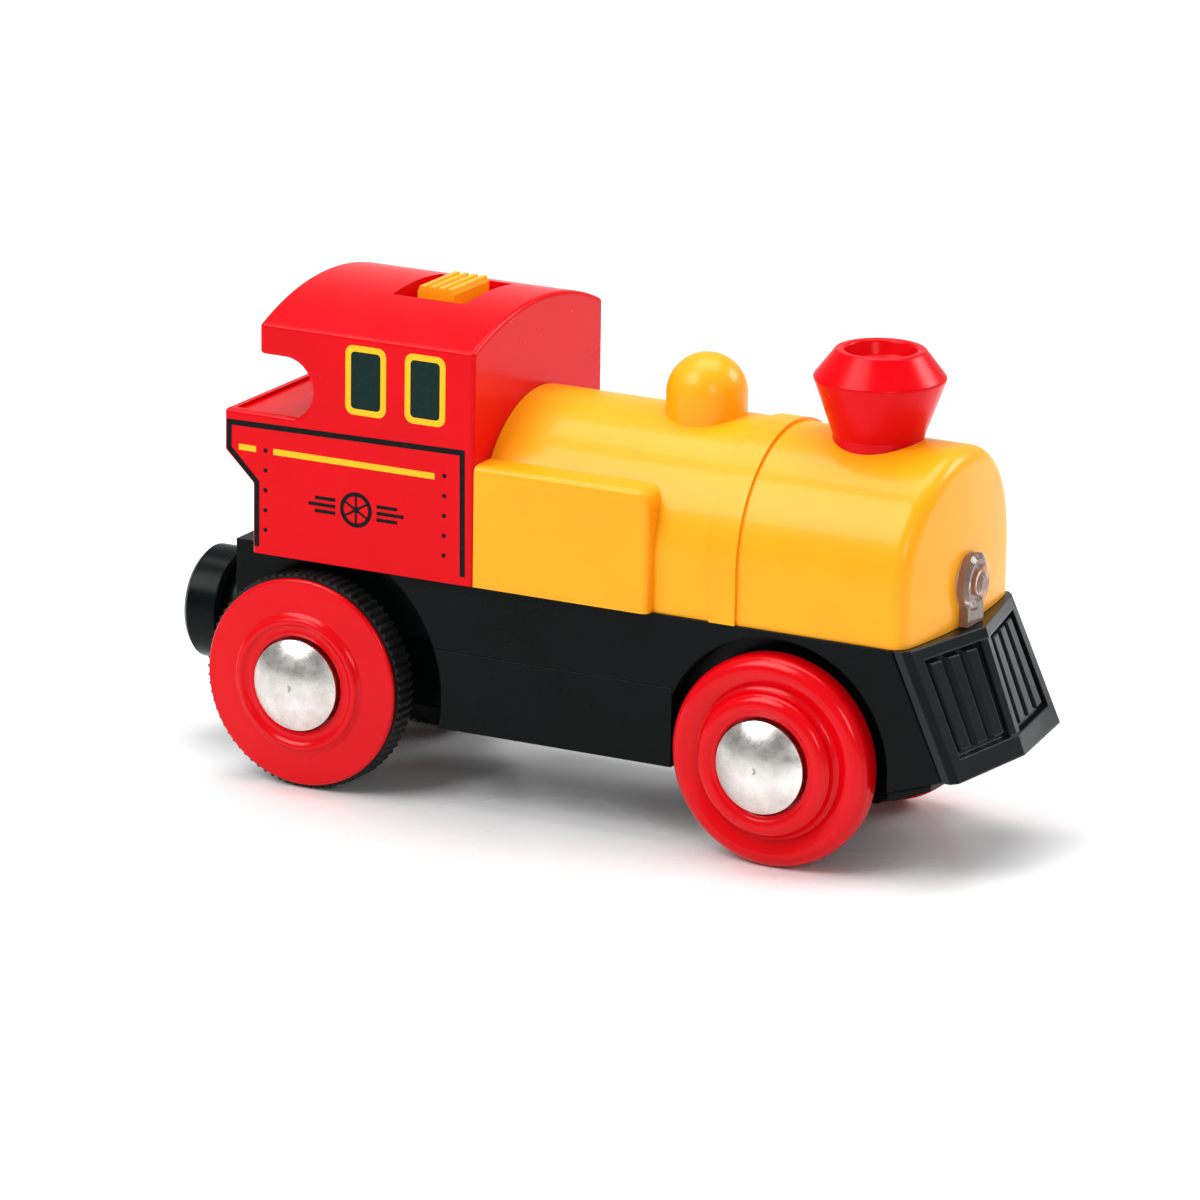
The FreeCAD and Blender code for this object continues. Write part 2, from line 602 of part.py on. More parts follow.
def make_chassis():
    body = chassis_blocks()
    low = CHASSIS_BOTTOM - 1
    roof = CHASSIS_TOP - 1.2
    lane_low = LANE_Y - 0.35
    cuts = [box(BAY_REAR_X, BAY_FRONT_X, -BAY_HALF_WIDTH, BAY_HALF_WIDTH, low, BAY_TOP)]
    cuts.append(box(REAR_AXLE_X - 6, GEAR_WINDOW[1] - 2, lane_low, CORE_INSIDE, low + 2, CHASSIS_TOP))
    cuts.append(box(REAR_AXLE_X - 6, KEEPER_JOIN_X + 1.8, lane_low, CORE_INSIDE, low, low + 4))
    wheel_tip = pitch_radius(WHEEL_TEETH) + MODULE * TOOTH_ADDENDUM
    window_low = min(BAY_TOP, GEAR_B_CENTRE[1] - wheel_tip) - MOVING_GAP
    cuts.append(box(GEAR_WINDOW[0], GEAR_WINDOW[1], LAYER_ONE_Y - 0.4, CORE_INSIDE,
                    window_low, DECK_TOP + 1))
    cuts.append(rod_y(AXLE_R + AXLE_HUB_WALL + MOVING_GAP, LAYER_ONE_Y - 0.4, CORE_INSIDE, *AXLE_CENTRE))
    cuts.append(box(CORE_REAR_X + 5, KEEPER_JOIN_X, -CORE_INSIDE, CORE_INSIDE, low, roof))
    cuts.append(box(FRONT_BLOCK_X, NOSE_FRONT_X - 3, -CORE_INSIDE, CORE_INSIDE, low, roof))
    for side in (1, -1):
        cuts.append(side_box(side, REAR_AXLE_X + 16.5, COVER_FRONT_X - 1, CORE_INSIDE,
                             CHASSIS_HALF_WIDTH - 1.3, low, roof))
    cuts.append(cover_space(SEAT_GAP))
    body = body.cut(cuts)
    boss = rod_z(BOSS_R, COVER_SEAM_Z + SEAT_GAP, roof + 0.2, COVER_SCREW_X, COVER_SCREW_Y)
    lamp_post = box(LED_REAR_X, LED_REAR_X + 1.8, -2, 2, DECK_TOP - 0.2, LAMP_Z - LED_R)
    body = body.fuse([boss, lamp_post, make_motor_cradle()])
    holes = [axle_slot(FRONT_AXLE_X, FRONT_AXLE_Z), axle_slot(*AXLE_CENTRE)]
    holes.append(rod_z(SCREW_R + RUNNING_FIT, COVER_SEAM_Z, roof, COVER_SCREW_X, COVER_SCREW_Y))
    for x, y in BODY_SCREWS:
        for side in (1, -1):
            holes.append(rod_z(SCREW_R + SCREW_CLEARANCE, roof - 1, DECK_TOP + 1, x, side * y))
            holes.append(rod_z(SCREW_HEAD_R + SCREW_CLEARANCE, roof - SCREW_HEAD_HEIGHT - 0.1, roof,
                               x, side * y))
    for x in KEEPER_SCREW_X:
        for side in (1, -1):
            holes.append(rod_z(SCREW_R, CHASSIS_BOTTOM - 1, CHASSIS_BOTTOM + SCREW_LENGTH, x,
                               side * KEEPER_SCREW_Y))
    holes.append(rod_y(ARBOR_R, LANE_Y, CORE_HALF_WIDTH - 0.25, *IDLER_CENTRE))
    holes.append(rod_x(PIN_R, CORE_REAR_X - 1, CORE_REAR_X + PIN_DEPTH, 0, BARREL_Z))
    return body.cut(holes)


def keeper_posts(x, z, width):
    """Posts that close the axle slots from below."""
    half = AXLE_R
    return at_sides(lambda side: side_box(side, x - half, x + half, CORE_HALF_WIDTH - width,
                                          CORE_HALF_WIDTH, CHASSIS_BOTTOM - 0.5,
                                          z - AXLE_R - RUNNING_FIT))


def keeper_holes(x, bottom):
    """Countersunk screw holes on both sides of the centre plane."""
    def one(side):
        shank = rod_z(SCREW_R + SCREW_CLEARANCE, bottom - 1, bottom + 3, x, side * KEEPER_SCREW_Y)
        head = rod_z(SCREW_HEAD_R + SCREW_CLEARANCE, bottom - 1, bottom + KEEPER_HEAD_SINK,
                     x, side * KEEPER_SCREW_Y)
        return shank.fuse(head)

    return at_sides(one)


def make_rear_keeper():
    """Plate under the rear axle, with a pocket for the driven gear."""
    bottom = CHASSIS_BOTTOM - KEEPER_THICK
    top = CHASSIS_BOTTOM - SEAT_GAP
    plate = box(CORE_REAR_X + 0.6, KEEPER_JOIN_X, -CORE_HALF_WIDTH, CORE_HALF_WIDTH, bottom, top)
    tab = box(KEEPER_JOIN_X - 1, KEEPER_JOIN_X + 2.2, LANE_Y - 0.6, CORE_HALF_WIDTH, bottom, top)
    plate = plate.fuse([tab, keeper_posts(REAR_AXLE_X, REAR_AXLE_Z, CORE_WALL)])
    tip = pitch_radius(AXLE_TEETH) + MODULE * TOOTH_ADDENDUM + MOVING_GAP
    pocket = rod_y(tip, LANE_Y - 0.35, CORE_INSIDE, *AXLE_CENTRE)
    return plate.cut([pocket, keeper_holes(KEEPER_SCREW_X[0], bottom)])


def make_front_keeper():
    """Plate under the front axle with a foot that closes the slanting nose."""
    bottom = CHASSIS_BOTTOM - KEEPER_THICK
    top = CHASSIS_BOTTOM - SEAT_GAP
    riser_x = NOSE_HEEL_X + SEAT_GAP
    start_x = BAY_FRONT_X + 0.3
    foot_low = NOSE_HEEL_Z - FOOT_THICK
    plate = prism_y([(start_x, bottom), (NOSE_HEEL_X - 2.5, bottom), (riser_x + 1.2, foot_low),
                     (riser_x + 1.2, foot_low + 0.3), (riser_x, foot_low + 0.3), (riser_x, top),
                     (start_x, top)], -CORE_HALF_WIDTH, CORE_HALF_WIDTH)
    end_x = NOSE_FOOT_X - 1.3
    high = nose_underside(end_x) - SEAT_GAP
    foot = prism_y([(riser_x, NOSE_HEEL_Z - SEAT_GAP), (end_x, high), (end_x, high - FOOT_THICK + 0.1),
                    (riser_x + 0.8, foot_low), (riser_x, foot_low)],
                   -VEE_BOTTOM_HALF_WIDTH + 0.1, VEE_BOTTOM_HALF_WIDTH - 0.1)
    plate = plate.fuse([foot, keeper_posts(FRONT_AXLE_X, FRONT_AXLE_Z, FRONT_POST_WIDTH)])
    return plate.cut(keeper_holes(KEEPER_SCREW_X[1], bottom))


def make_battery_cover():
    floor_top = CHASSIS_BOTTOM + FLOOR_THICK
    rear = REAR_AXLE_X + 10
    trough = box(rear, COVER_FRONT_X, -CHASSIS_HALF_WIDTH, CHASSIS_HALF_WIDTH,
                 CHASSIS_BOTTOM, COVER_SEAM_Z)
    trough = trough.cut(box(rear - 1, COVER_FRONT_X + 1, -CHASSIS_HALF_WIDTH + 1.2,
                            CHASSIS_HALF_WIDTH - 1.2, floor_top, COVER_SEAM_Z + 1))
    boss = rod_z(BOSS_R, CHASSIS_BOTTOM, COVER_SEAM_Z - SEAT_GAP, COVER_SCREW_X, COVER_SCREW_Y)
    trough = trough.fuse(boss).cut(rear_well(REAR_WELL_R))
    end_walls = box(COVER_FRONT_X - 1.2, COVER_FRONT_X, -CHASSIS_HALF_WIDTH, CHASSIS_HALF_WIDTH,
                    floor_top - 0.2, COVER_SEAM_Z)
    end_walls = end_walls.cut(box(0, 40, -CORE_INSIDE - SEAT_GAP, CORE_INSIDE + SEAT_GAP, 0, 40))
    tongue = box(BAY_REAR_X + 0.2, BAY_FRONT_X - 0.05, -BAY_HALF_WIDTH + 0.3, BAY_HALF_WIDTH - 0.3,
                 CHASSIS_BOTTOM, floor_top)
    cover = trough.cut(box(rear - 1, REAR_AXLE_X + 16.0, -CORE_HALF_WIDTH - 1, CORE_HALF_WIDTH + 1, 0, 40))
    cover = cover.fuse([end_walls, tongue])
    hole = rod_z(SCREW_R + SCREW_CLEARANCE, CHASSIS_BOTTOM - 1, COVER_SEAM_Z + 1,
                 COVER_SCREW_X, COVER_SCREW_Y)
    head = rod_z(SCREW_HEAD_R + SCREW_CLEARANCE, CHASSIS_BOTTOM - 1, CHASSIS_BOTTOM + COVER_HEAD_SINK,
                 COVER_SCREW_X, COVER_SCREW_Y)
    return cover.cut([hole, head])


# ---------------------------------------------------------------- screws
def screw(x, y, head_low, length):
    """Pan-head screw that points up, with a cross recess in its head."""
    head = rod_z(SCREW_HEAD_R, head_low, head_low + SCREW_HEAD_HEIGHT, x, y)
    shank = rod_z(SCREW_R, head_low + SCREW_HEAD_HEIGHT, head_low + SCREW_HEAD_HEIGHT + length, x, y)
    long_slot = box(x - 1.3, x + 1.3, y - 0.25, y + 0.25, head_low - 0.1, head_low + 0.6)
    cross_slot = box(x - 0.25, x + 0.25, y - 1.3, y + 1.3, head_low - 0.1, head_low + 0.6)
    return head.fuse(shank).cut([long_slot, cross_slot])


def make_cover_screw():
    low = CHASSIS_BOTTOM + COVER_HEAD_SINK - SCREW_HEAD_HEIGHT
    return screw(COVER_SCREW_X, COVER_SCREW_Y, low, COVER_SEAM_Z - low + 1.5)


def make_keeper_screws():
    low = CHASSIS_BOTTOM - KEEPER_THICK + KEEPER_HEAD_SINK - KEEPER_HEAD_HEIGHT
    screws = []
    for x in KEEPER_SCREW_X:
        for side in (1, -1):
            y = side * KEEPER_SCREW_Y
            head = rod_z(SCREW_HEAD_R, low, low + KEEPER_HEAD_HEIGHT, x, y)
            shank = rod_z(SCREW_R, low + KEEPER_HEAD_HEIGHT, low + SCREW_LENGTH, x, y)
            slot = box(x - 1.3, x + 1.3, y - 0.25, y + 0.25, low - 0.1, low + 0.3)
            screws.append(head.fuse(shank).cut(slot))
    return group(screws)


def make_body_screws():
    low = CHASSIS_TOP - 1.2 - SCREW_HEAD_HEIGHT
    return group([screw(x, side * y, low, SCREW_LENGTH) for x, y in BODY_SCREWS for side in (1, -1)])


def screw_bosses(places, wall_y):
    """Posts inside a shell for the body screws, each webbed to the side wall."""
    low = DECK_TOP + SEAT_GAP
    high = CHASSIS_TOP + SCREW_LENGTH + 2

    def one(side):
        posts = []
        for x, y in places:
            posts.append(rod_z(BOSS_R, low, high, x, side * y))
            posts.append(side_box(side, x - 0.6, x + 0.6, y, wall_y, low, high))
        return posts[0].fuse(posts[1:])

    def holes(side):
        made = [rod_z(SCREW_R, low - 1, high - 1, x, side * y) for x, y in places]
        return made[0].fuse(made[1:]) if len(made) > 1 else made[0]

    return at_sides(one).cut(at_sides(holes))


# ---------------------------------------------------------------- cab
def arch_prism(half_width, bottom, eave, rise, x0, x1):
    """Block with an arched top, running along X."""
    edges = [Part.makeLine(V(x0, -half_width, eave), V(x0, -half_width, bottom)),
             Part.makeLine(V(x0, -half_width, bottom), V(x0, half_width, bottom)),
             Part.makeLine(V(x0, half_width, bottom), V(x0, half_width, eave)),
             Part.Arc(V(x0, half_width, eave), V(x0, 0, eave + rise), V(x0, -half_width, eave)).toShape()]
    return Part.Face(Part.Wire(edges)).extrude(V(x1 - x0, 0, 0))


def cab_side_face(inset):
    """Side outline of the cab in the XZ plane, drawn in by an inset."""
    floor_z = TENDER_TOP - inset
    roof_z = ROOF_UNDERSIDE + inset
    front = CAB_FRONT_X - inset
    top = EAVE_TOP + ROOF_RISE + 5
    bottom = CHASSIS_TOP if inset == 0 else CHASSIS_TOP - 5
    lower_rear = CAB_REAR_X + inset
    upper_rear = TENDER_REAR_X + inset
    roof_rear = ROOF_REAR_X + inset
    slope_low = SLOPE_LOW_Z + inset * 0.35
    slope_high = SLOPE_HIGH_Z + inset * 0.35
    start = (LOOKOUT_FLOOR_X + inset * 0.6, floor_z)
    end = (LOOKOUT_ROOF_X + inset * 0.4, roof_z)
    points = [(front, bottom), (front, top), (roof_rear, top), (roof_rear, roof_z), end]
    edges = []
    for a, b in zip(points, points[1:]):
        edges.append(Part.makeLine(V(a[0], 0, a[1]), V(b[0], 0, b[1])))
    mid = V(LOOKOUT_ARC_X + inset, 0, LOOKOUT_ARC_Z)
    edges.append(Part.Arc(V(end[0], 0, end[1]), mid, V(start[0], 0, start[1])).toShape())
    rest = [start, (upper_rear, floor_z), (upper_rear, slope_high), (lower_rear, slope_low),
            (lower_rear, bottom), (front, bottom)]
    for a, b in zip(rest, rest[1:]):
        edges.append(Part.makeLine(V(a[0], 0, a[1]), V(b[0], 0, b[1])))
    return Part.Face(Part.Wire(edges))


def cab_block(inset, low_x):
    """The cab's outer shape, or its inner one at an inset."""
    half = CAB_HALF_WIDTH - inset
    side = cab_side_face(inset).extrude(V(0, 2 * half, 0)).translated(V(0, -half, 0))
    arch = arch_prism(half, CHASSIS_TOP - 10, EAVE_TOP - inset * 0.7, ROOF_RISE, low_x, CAB_FRONT_X)
    return side.common(arch)


def recess_box(grow, z0, z1):
    """Rectangle of the switch recess in the roof, between two heights."""
    half_length = KNOB_LENGTH / 2 + KNOB_TRAVEL + MOVING_GAP
    return box(SWITCH_X - half_length - grow, SWITCH_X + half_length + grow,
               -RECESS_HALF_WIDTH - grow, RECESS_HALF_WIDTH + grow, z0, z1)


def make_cab_shell():
    outer = cab_block(0, TENDER_REAR_X - 1)

    def above_foot(edge):
        return middle(edge).z > CHASSIS_TOP + 0.1

    outer = fillet_where(outer, CAB_EDGE_R, above_foot)
    shell = outer.cut(cab_block(WALL, TENDER_REAR_X - 1))
    opening = boiler_section(-WALL - DOORWAY_STEP, CAB_FRONT_X - 3, CAB_FRONT_X + 1)
    shell = shell.cut(opening)
    tray = recess_box(WALL, TRAY_BOTTOM, EAVE_TOP + ROOF_RISE - 0.3)
    shell = shell.fuse(tray.common(outer))
    posts = []
    for x in (SWITCH_X - 5.6, SWITCH_X + 5.6):
        for y in (-4.6, 4.6):
            posts.append(rod_z(0.9, BOARD_TOP, TRAY_BOTTOM + 0.2, x, y))
    bosses = screw_bosses(BODY_SCREWS[:1], CAB_INSIDE + 0.3)
    shell = shell.fuse(posts + [bosses])
    slot = box(SWITCH_X - KNOB_TRAVEL - 1.35, SWITCH_X + KNOB_TRAVEL + 1.35, -1.5, 1.5,
               TRAY_BOTTOM - 1, KNOB_FLOOR + 1)
    bunker = box(TENDER_REAR_X + 1.0, LOOKOUT_FLOOR_X - 1.6, -CAB_HALF_WIDTH + 1.0, CAB_HALF_WIDTH - 1.0,
                 TENDER_TOP - 0.35, TENDER_TOP + 1)
    return shell.cut([recess_box(0, KNOB_FLOOR, EAVE_TOP + ROOF_RISE + 2), slot, bunker])


# ---------------------------------------------------------------- roof switch
def make_switch_knob():
    """Ridged thumb block with a stem that goes down through the roof."""
    half = KNOB_LENGTH / 2
    low = KNOB_FLOOR + 0.1
    top = EAVE_TOP + ROOF_RISE + KNOB_PROUD
    valley = top - 0.6
    block = box(SWITCH_X - half, SWITCH_X + half, -KNOB_WIDTH / 2, KNOB_WIDTH / 2, low, valley)
    pitch = KNOB_LENGTH / KNOB_RIDGES
    ridges = []
    for k in range(KNOB_RIDGES):
        x = SWITCH_X - half + pitch * (k + 0.5)
        ridge = prism_y([(x - 0.48 * pitch, valley - 0.1), (x - 0.26 * pitch, top),
                         (x + 0.26 * pitch, top), (x + 0.48 * pitch, valley - 0.1)],
                        -KNOB_WIDTH / 2, KNOB_WIDTH / 2)
        ridges.append(ridge)
    skirt = box(SWITCH_X - half, SWITCH_X + half, -RECESS_HALF_WIDTH + 0.3, RECESS_HALF_WIDTH - 0.3,
                low, low + 0.5)
    stem = box(SWITCH_X - 1.0, SWITCH_X + 1.0, -1.2, 1.2, BOARD_TOP + 0.7, low + 0.2)
    return block.fuse(ridges + [skirt, stem])


def make_switch_wiper():
    """Sprung brass bridge under the stem that joins the board's pads."""
    plate = box(SWITCH_X - 1.6, SWITCH_X + 1.6, -2.6, 2.6, BOARD_TOP + 0.4, BOARD_TOP + 0.7)
    return plate


def make_switch_board():
    board = box(SWITCH_X - 6.6, SWITCH_X + 6.6, -6.0, 6.0, BOARD_TOP - BOARD_THICK, BOARD_TOP)
    return board


def make_switch_pads():
    """Three pairs of contact pads: forward, off and reverse."""
    pads = []
    for x in (SWITCH_X - KNOB_TRAVEL, SWITCH_X, SWITCH_X + KNOB_TRAVEL):
        for y in (-2.0, 2.0):
            pads.append(box(x - 0.8, x + 0.8, y - 0.7, y + 0.7, BOARD_TOP, BOARD_TOP + 0.08))
    return group(pads)


# ---------------------------------------------------------------- boiler
def boiler_section(grow, x0, x1):
    """Straight-sided, round-topped section of the boiler, grown outwards."""
    half = BOILER_HALF_WIDTH + grow
    low = CHASSIS_TOP if grow >= 0 else CHASSIS_TOP - 5
    edges = [Part.makeLine(V(x0, -half, BOILER_CENTRE_Z), V(x0, -half, low)),
             Part.makeLine(V(x0, -half, low), V(x0, half, low)),
             Part.makeLine(V(x0, half, low), V(x0, half, BOILER_CENTRE_Z)),
             Part.Arc(V(x0, half, BOILER_CENTRE_Z), V(x0, 0, BOILER_CENTRE_Z + half),
                      V(x0, -half, BOILER_CENTRE_Z)).toShape()]
    return Part.Face(Part.Wire(edges)).extrude(V(x1 - x0, 0, 0))


def bulged_front(inset):
    """Upright cylinder whose surface is the boiler's bulged front face."""
    radius = (BOILER_HALF_WIDTH ** 2 + BOILER_BULGE ** 2) / (2 * BOILER_BULGE)
    x = BOILER_FRONT_X - radius
    return rod_z(radius - inset, CHASSIS_TOP - 8, BOILER_TOP + 5, x, 0)


def make_dome():
    upright = rod_z(DOME_R, BOILER_TOP - 2.4, DOME_CENTRE_Z, DOME_X, 0)
    return upright.fuse(Part.makeSphere(DOME_R, V(DOME_X, 0, DOME_CENTRE_Z)))


def lamp_opening(gap):
    """Opening for the headlamp in the boiler's front face."""
    start = BOILER_CORNER_X - 4
    bore = rod_x(LAMP_R - 0.35 + gap, start, BOILER_FRONT_X + 1, 0, LAMP_Z)
    half = LAMP_STEM_HALF_WIDTH + gap
    stem = box(start, BOILER_FRONT_X + 1, -half, half, CHASSIS_TOP - 1, LAMP_Z)
    return bore.fuse(stem)


def make_boiler_shell():
    start = CAB_FRONT_X + SEAT_GAP
    outer = boiler_section(0, start, BOILER_FRONT_X + 1).common(bulged_front(0))

    def front_rim(edge):
        point = middle(edge)
        return point.x > BOILER_CORNER_X - 0.5 and point.z > CHASSIS_TOP + 1

    outer = fillet_where(outer, 1.9, front_rim)
    band = boiler_section(BAND_PROUD, BAND_X, BAND_X + BAND_WIDTH)
    tanks = box(start, TANK_FRONT_X, -TANK_HALF_WIDTH, TANK_HALF_WIDTH, CHASSIS_TOP, TANK_TOP)
    tanks = fillet_where(tanks, TANK_CORNER_R, lambda edge: abs(middle(edge).y) < 0.1
                         and middle(edge).z > TANK_TOP - 0.1 and middle(edge).x > TANK_FRONT_X - 0.1)
    tanks = fillet_where(tanks, TANK_EDGE_R, lambda edge: abs(middle(edge).y) > TANK_HALF_WIDTH - 0.1
                         and middle(edge).z > CHASSIS_TOP + 1 and middle(edge).x > start + 1)
    shell = outer.fuse([band, tanks])
    inner = boiler_section(-WALL, start - 1, BOILER_FRONT_X).common(bulged_front(WALL))
    shell = shell.cut(inner).fuse(make_dome().cut(inner))
    bosses = screw_bosses(BODY_SCREWS[1:], BOILER_INSIDE + 0.3)
    shell = shell.fuse(bosses)
    spigot = rod_z(CHIMNEY_SPIGOT_R + SEAT_GAP, BOILER_TOP - 4, BOILER_TOP + 2, CHIMNEY_X, 0)
    return shell.cut([spigot, lamp_opening(SEAT_GAP)])


def make_chimney():
    """Diamond-stack chimney with a recessed top and a spigot into the boiler."""
    centre = V(CHIMNEY_X, 0, 0)
    top = CHIMNEY_TOP_Z
    bowl_r = CHIMNEY_TOP_R - 0.9
    outline = [(0, BOILER_TOP - 1.5), (CHIMNEY_BASE_R, BOILER_TOP - 1.5),
               (CHIMNEY_BASE_R, BOILER_TOP + 0.2), (CHIMNEY_RIM_R, CHIMNEY_RIM_Z),
               (CHIMNEY_TOP_R, top), (bowl_r, top), (bowl_r - 0.5, top - 1.8), (0, top - 1.9)]
    body = spin(outline, centre, V(0, 0, 1))
    body = fillet_where(body, 0.4, lambda edge: middle(edge).z > CHIMNEY_RIM_Z - 0.5
                        and edge.Length > 2 * bowl_r)
    boiler = boiler_section(0, CHIMNEY_X - 10, CHIMNEY_X + 9)
    spigot = rod_z(CHIMNEY_SPIGOT_R, BOILER_TOP - WALL - 0.8, BOILER_TOP, CHIMNEY_X, 0)
    return body.cut(boiler).fuse(spigot)


# ---------------------------------------------------------------- headlamp
def make_headlamp_lens():
    """Clear lens: a stepped round front on a stem that stands on the chassis."""
    face = BOILER_FRONT_X
    front = face + LAMP_PROUD
    flange_back = BOILER_CORNER_X - 2.8
    flange_front = BOILER_CORNER_X - 2.0
    centre = V(0, 0, LAMP_Z)
    barrel = LAMP_R - 0.35
    outline = [(0, flange_back), (barrel, flange_back), (barrel, face + 0.05), (LAMP_R, face + 0.1),
               (LAMP_R, face + 0.9), (LAMP_R - 0.6, face + 1.3), (LAMP_R - 1.1, face + 1.3),
               (LAMP_R - 1.5, face + 0.8), (1.5, face + 0.8), (1.35, front - 0.35), (0.7, front), (0, front)]
    lens = spin(outline, centre, V(1, 0, 0))
    half = LAMP_STEM_HALF_WIDTH
    stem = box(flange_front, face + 1.0, -half, half, CHASSIS_TOP + SEAT_GAP, LAMP_Z)
    foot_cut = boiler_deck_clearance()
    return lens.fuse(stem).cut(foot_cut)


def boiler_deck_clearance():
    return box(0, NOSE_BLOCK_X + SEAT_GAP, -30, 30, CHASSIS_TOP - 1, DECK_TOP + SEAT_GAP)


def make_headlamp_led():
    tip = LED_REAR_X + 3.1
    rear = LED_REAR_X
    body = rod_x(LED_R - 0.1, rear, tip - LED_R, 0, LAMP_Z)
    dome = Part.makeSphere(LED_R - 0.1, V(tip - LED_R, 0, LAMP_Z))
    flange = rod_x(LED_R, rear, rear + 0.8, 0, LAMP_Z)
    return body.fuse([dome, flange])


# ---------------------------------------------------------------- running gear
def wheel_bore(at):
    """Bottom of the cap's seat, the bore for the axle and the boss on the inner side."""
    seat = HUB_CAP_Y - HUB_SEAT_DEPTH
    points = [at(HUB_SEAT_R, HUB_CAP_Y - 0.6), at(HUB_SEAT_R, seat), at(AXLE_R, seat),
              at(AXLE_R, WHEEL_BOSS_Y), at(WHEEL_BOSS_R, WHEEL_BOSS_Y), at(WHEEL_BOSS_R, WHEEL_INNER_Y)]
    return [Part.makeLine(a, b) for a, b in zip(points, points[1:])]


def front_wheel():
    """Moulded wheel: round tread, dished face, raised ring round the hub seat."""
    inner = WHEEL_INNER_Y
    rim = FRONT_RIM_Y
    crest = HUB_RING_Y
    r = FRONT_WHEEL_R
    z0 = FRONT_AXLE_Z

    def at(radius, y):
        return V(FRONT_AXLE_X, y, z0 + radius)

    edges = [Part.makeLine(at(WHEEL_BOSS_R, inner), at(r - 0.7, inner)),
             Part.Arc(at(r - 0.7, inner), at(r - 0.2, inner + 0.2), at(r, inner + 0.7)).toShape(),
             Part.makeLine(at(r, inner + 0.7), at(r, rim - 1.5)),
             Part.Arc(at(r, rim - 1.5), at(r - 0.55, rim - 0.4), at(r - 1.75, rim)).toShape(),
             Part.Arc(at(r - 1.75, rim), at(r - 2.65, rim - 0.25), at(8.6, rim - 0.5)).toShape(),
             Part.Arc(at(8.6, rim - 0.5), at(8.15, rim - 0.2), at(7.95, crest - 0.75)).toShape(),
             Part.Arc(at(7.95, crest - 0.75), at(7.0, crest), at(6.0, crest - 0.2)).toShape(),
             Part.Arc(at(6.0, crest - 0.2), at(5.65, crest - 0.3),
                      at(HUB_SEAT_R, HUB_CAP_Y - 0.6)).toShape()]
    face = Part.Face(Part.Wire(edges + wheel_bore(at)))
    return face.revolve(V(FRONT_AXLE_X, 0, z0), V(0, 1, 0), 360)


def rear_wheel():
    """Disc with a shallow cone, a stepped ring and a narrow drum for the tyre."""
    x, z0 = AXLE_CENTRE
    inner = WHEEL_INNER_Y
    back = DISC_BACK_Y
    crest = HUB_RING_Y
    r = REAR_DISC_R
    drum = TYRE_R - TYRE_THICK

    def at(radius, y):
        return V(x, y, z0 + radius)

    shelf = inner + TYRE_LIP_THICK
    edges = [Part.makeLine(at(WHEEL_BOSS_R, inner), at(TYRE_LIP_R, inner)),
             Part.makeLine(at(TYRE_LIP_R, inner), at(TYRE_LIP_R, shelf)),
             Part.makeLine(at(TYRE_LIP_R, shelf), at(drum, shelf)),
             Part.makeLine(at(drum, shelf), at(drum, back)),
             Part.makeLine(at(drum, back), at(r - 0.3, back)),
             Part.Arc(at(r - 0.3, back), at(r, back + 0.35), at(r - 0.4, back + 0.75)).toShape(),
             Part.makeLine(at(r - 0.4, back + 0.75), at(8.1, crest - 0.65)),
             Part.Arc(at(8.1, crest - 0.65), at(7.75, crest - 0.4), at(7.5, crest - 0.1)).toShape(),
             Part.Arc(at(7.5, crest - 0.1), at(7.2, crest), at(6.9, crest - 0.1)).toShape(),
             Part.Arc(at(6.9, crest - 0.1), at(6.4, crest - 0.35), at(5.9, crest - 0.3)).toShape(),
             Part.makeLine(at(5.9, crest - 0.3), at(HUB_SEAT_R, HUB_CAP_Y - 0.6))]
    return Part.Face(Part.Wire(edges + wheel_bore(at))).revolve(V(x, 0, z0), V(0, 1, 0), 360)


def rear_tyre():
    """Ribbed rubber ring on the drum behind the disc, with a lip over the drum's back."""
    x, z0 = AXLE_CENTRE
    low = WHEEL_INNER_Y + 0.1
    high = DISC_BACK_Y - SEAT_GAP
    points = []
    for k in range(2 * TYRE_RIBS):
        radius = TYRE_R if k % 2 == 0 else TYRE_R - TYRE_RIB_DEPTH
        for part in (-0.22, 0.22):
            angle = 2 * math.pi * (k + part) / (2 * TYRE_RIBS) - math.pi / 2
            points.append((x + radius * math.cos(angle), z0 + radius * math.sin(angle)))
    shelf = WHEEL_INNER_Y + TYRE_LIP_THICK
    ring = prism_y(points, low, high).cut(rod_y(TYRE_R - TYRE_THICK, shelf, high + 1, x, z0))
    return ring.cut(rod_y(TYRE_LIP_R + SEAT_GAP, low - 1, high + 1, x, z0))


def hub_cap(x, z):
    """Domed steel cap seated in the wheel's hub."""
    seat = HUB_CAP_Y - HUB_SEAT_DEPTH + SEAT_GAP
    rim = HUB_CAP_Y
    rise = HUB_DOME_RISE
    r = HUB_DOME_R

    def at(radius, y):
        return V(x, y, z + radius)

    sphere = (r * r + rise * rise) / (2 * rise)
    half = 0.5 * r
    height = rim + math.sqrt(sphere * sphere - half * half) - (sphere - rise)
    edges = [Part.makeLine(at(0, seat), at(r, seat)),
             Part.makeLine(at(r, seat), at(r, rim)),
             Part.Arc(at(r, rim), at(half, height), at(0, rim + rise)).toShape(),
             Part.makeLine(at(0, rim + rise), at(0, seat))]
    return Part.Face(Part.Wire(edges)).revolve(V(x, 0, z), V(0, 1, 0), 360)


def make_axle(x, z):
    end = HUB_CAP_Y - HUB_SEAT_DEPTH
    return rod_y(AXLE_R, -end, end, x, z)


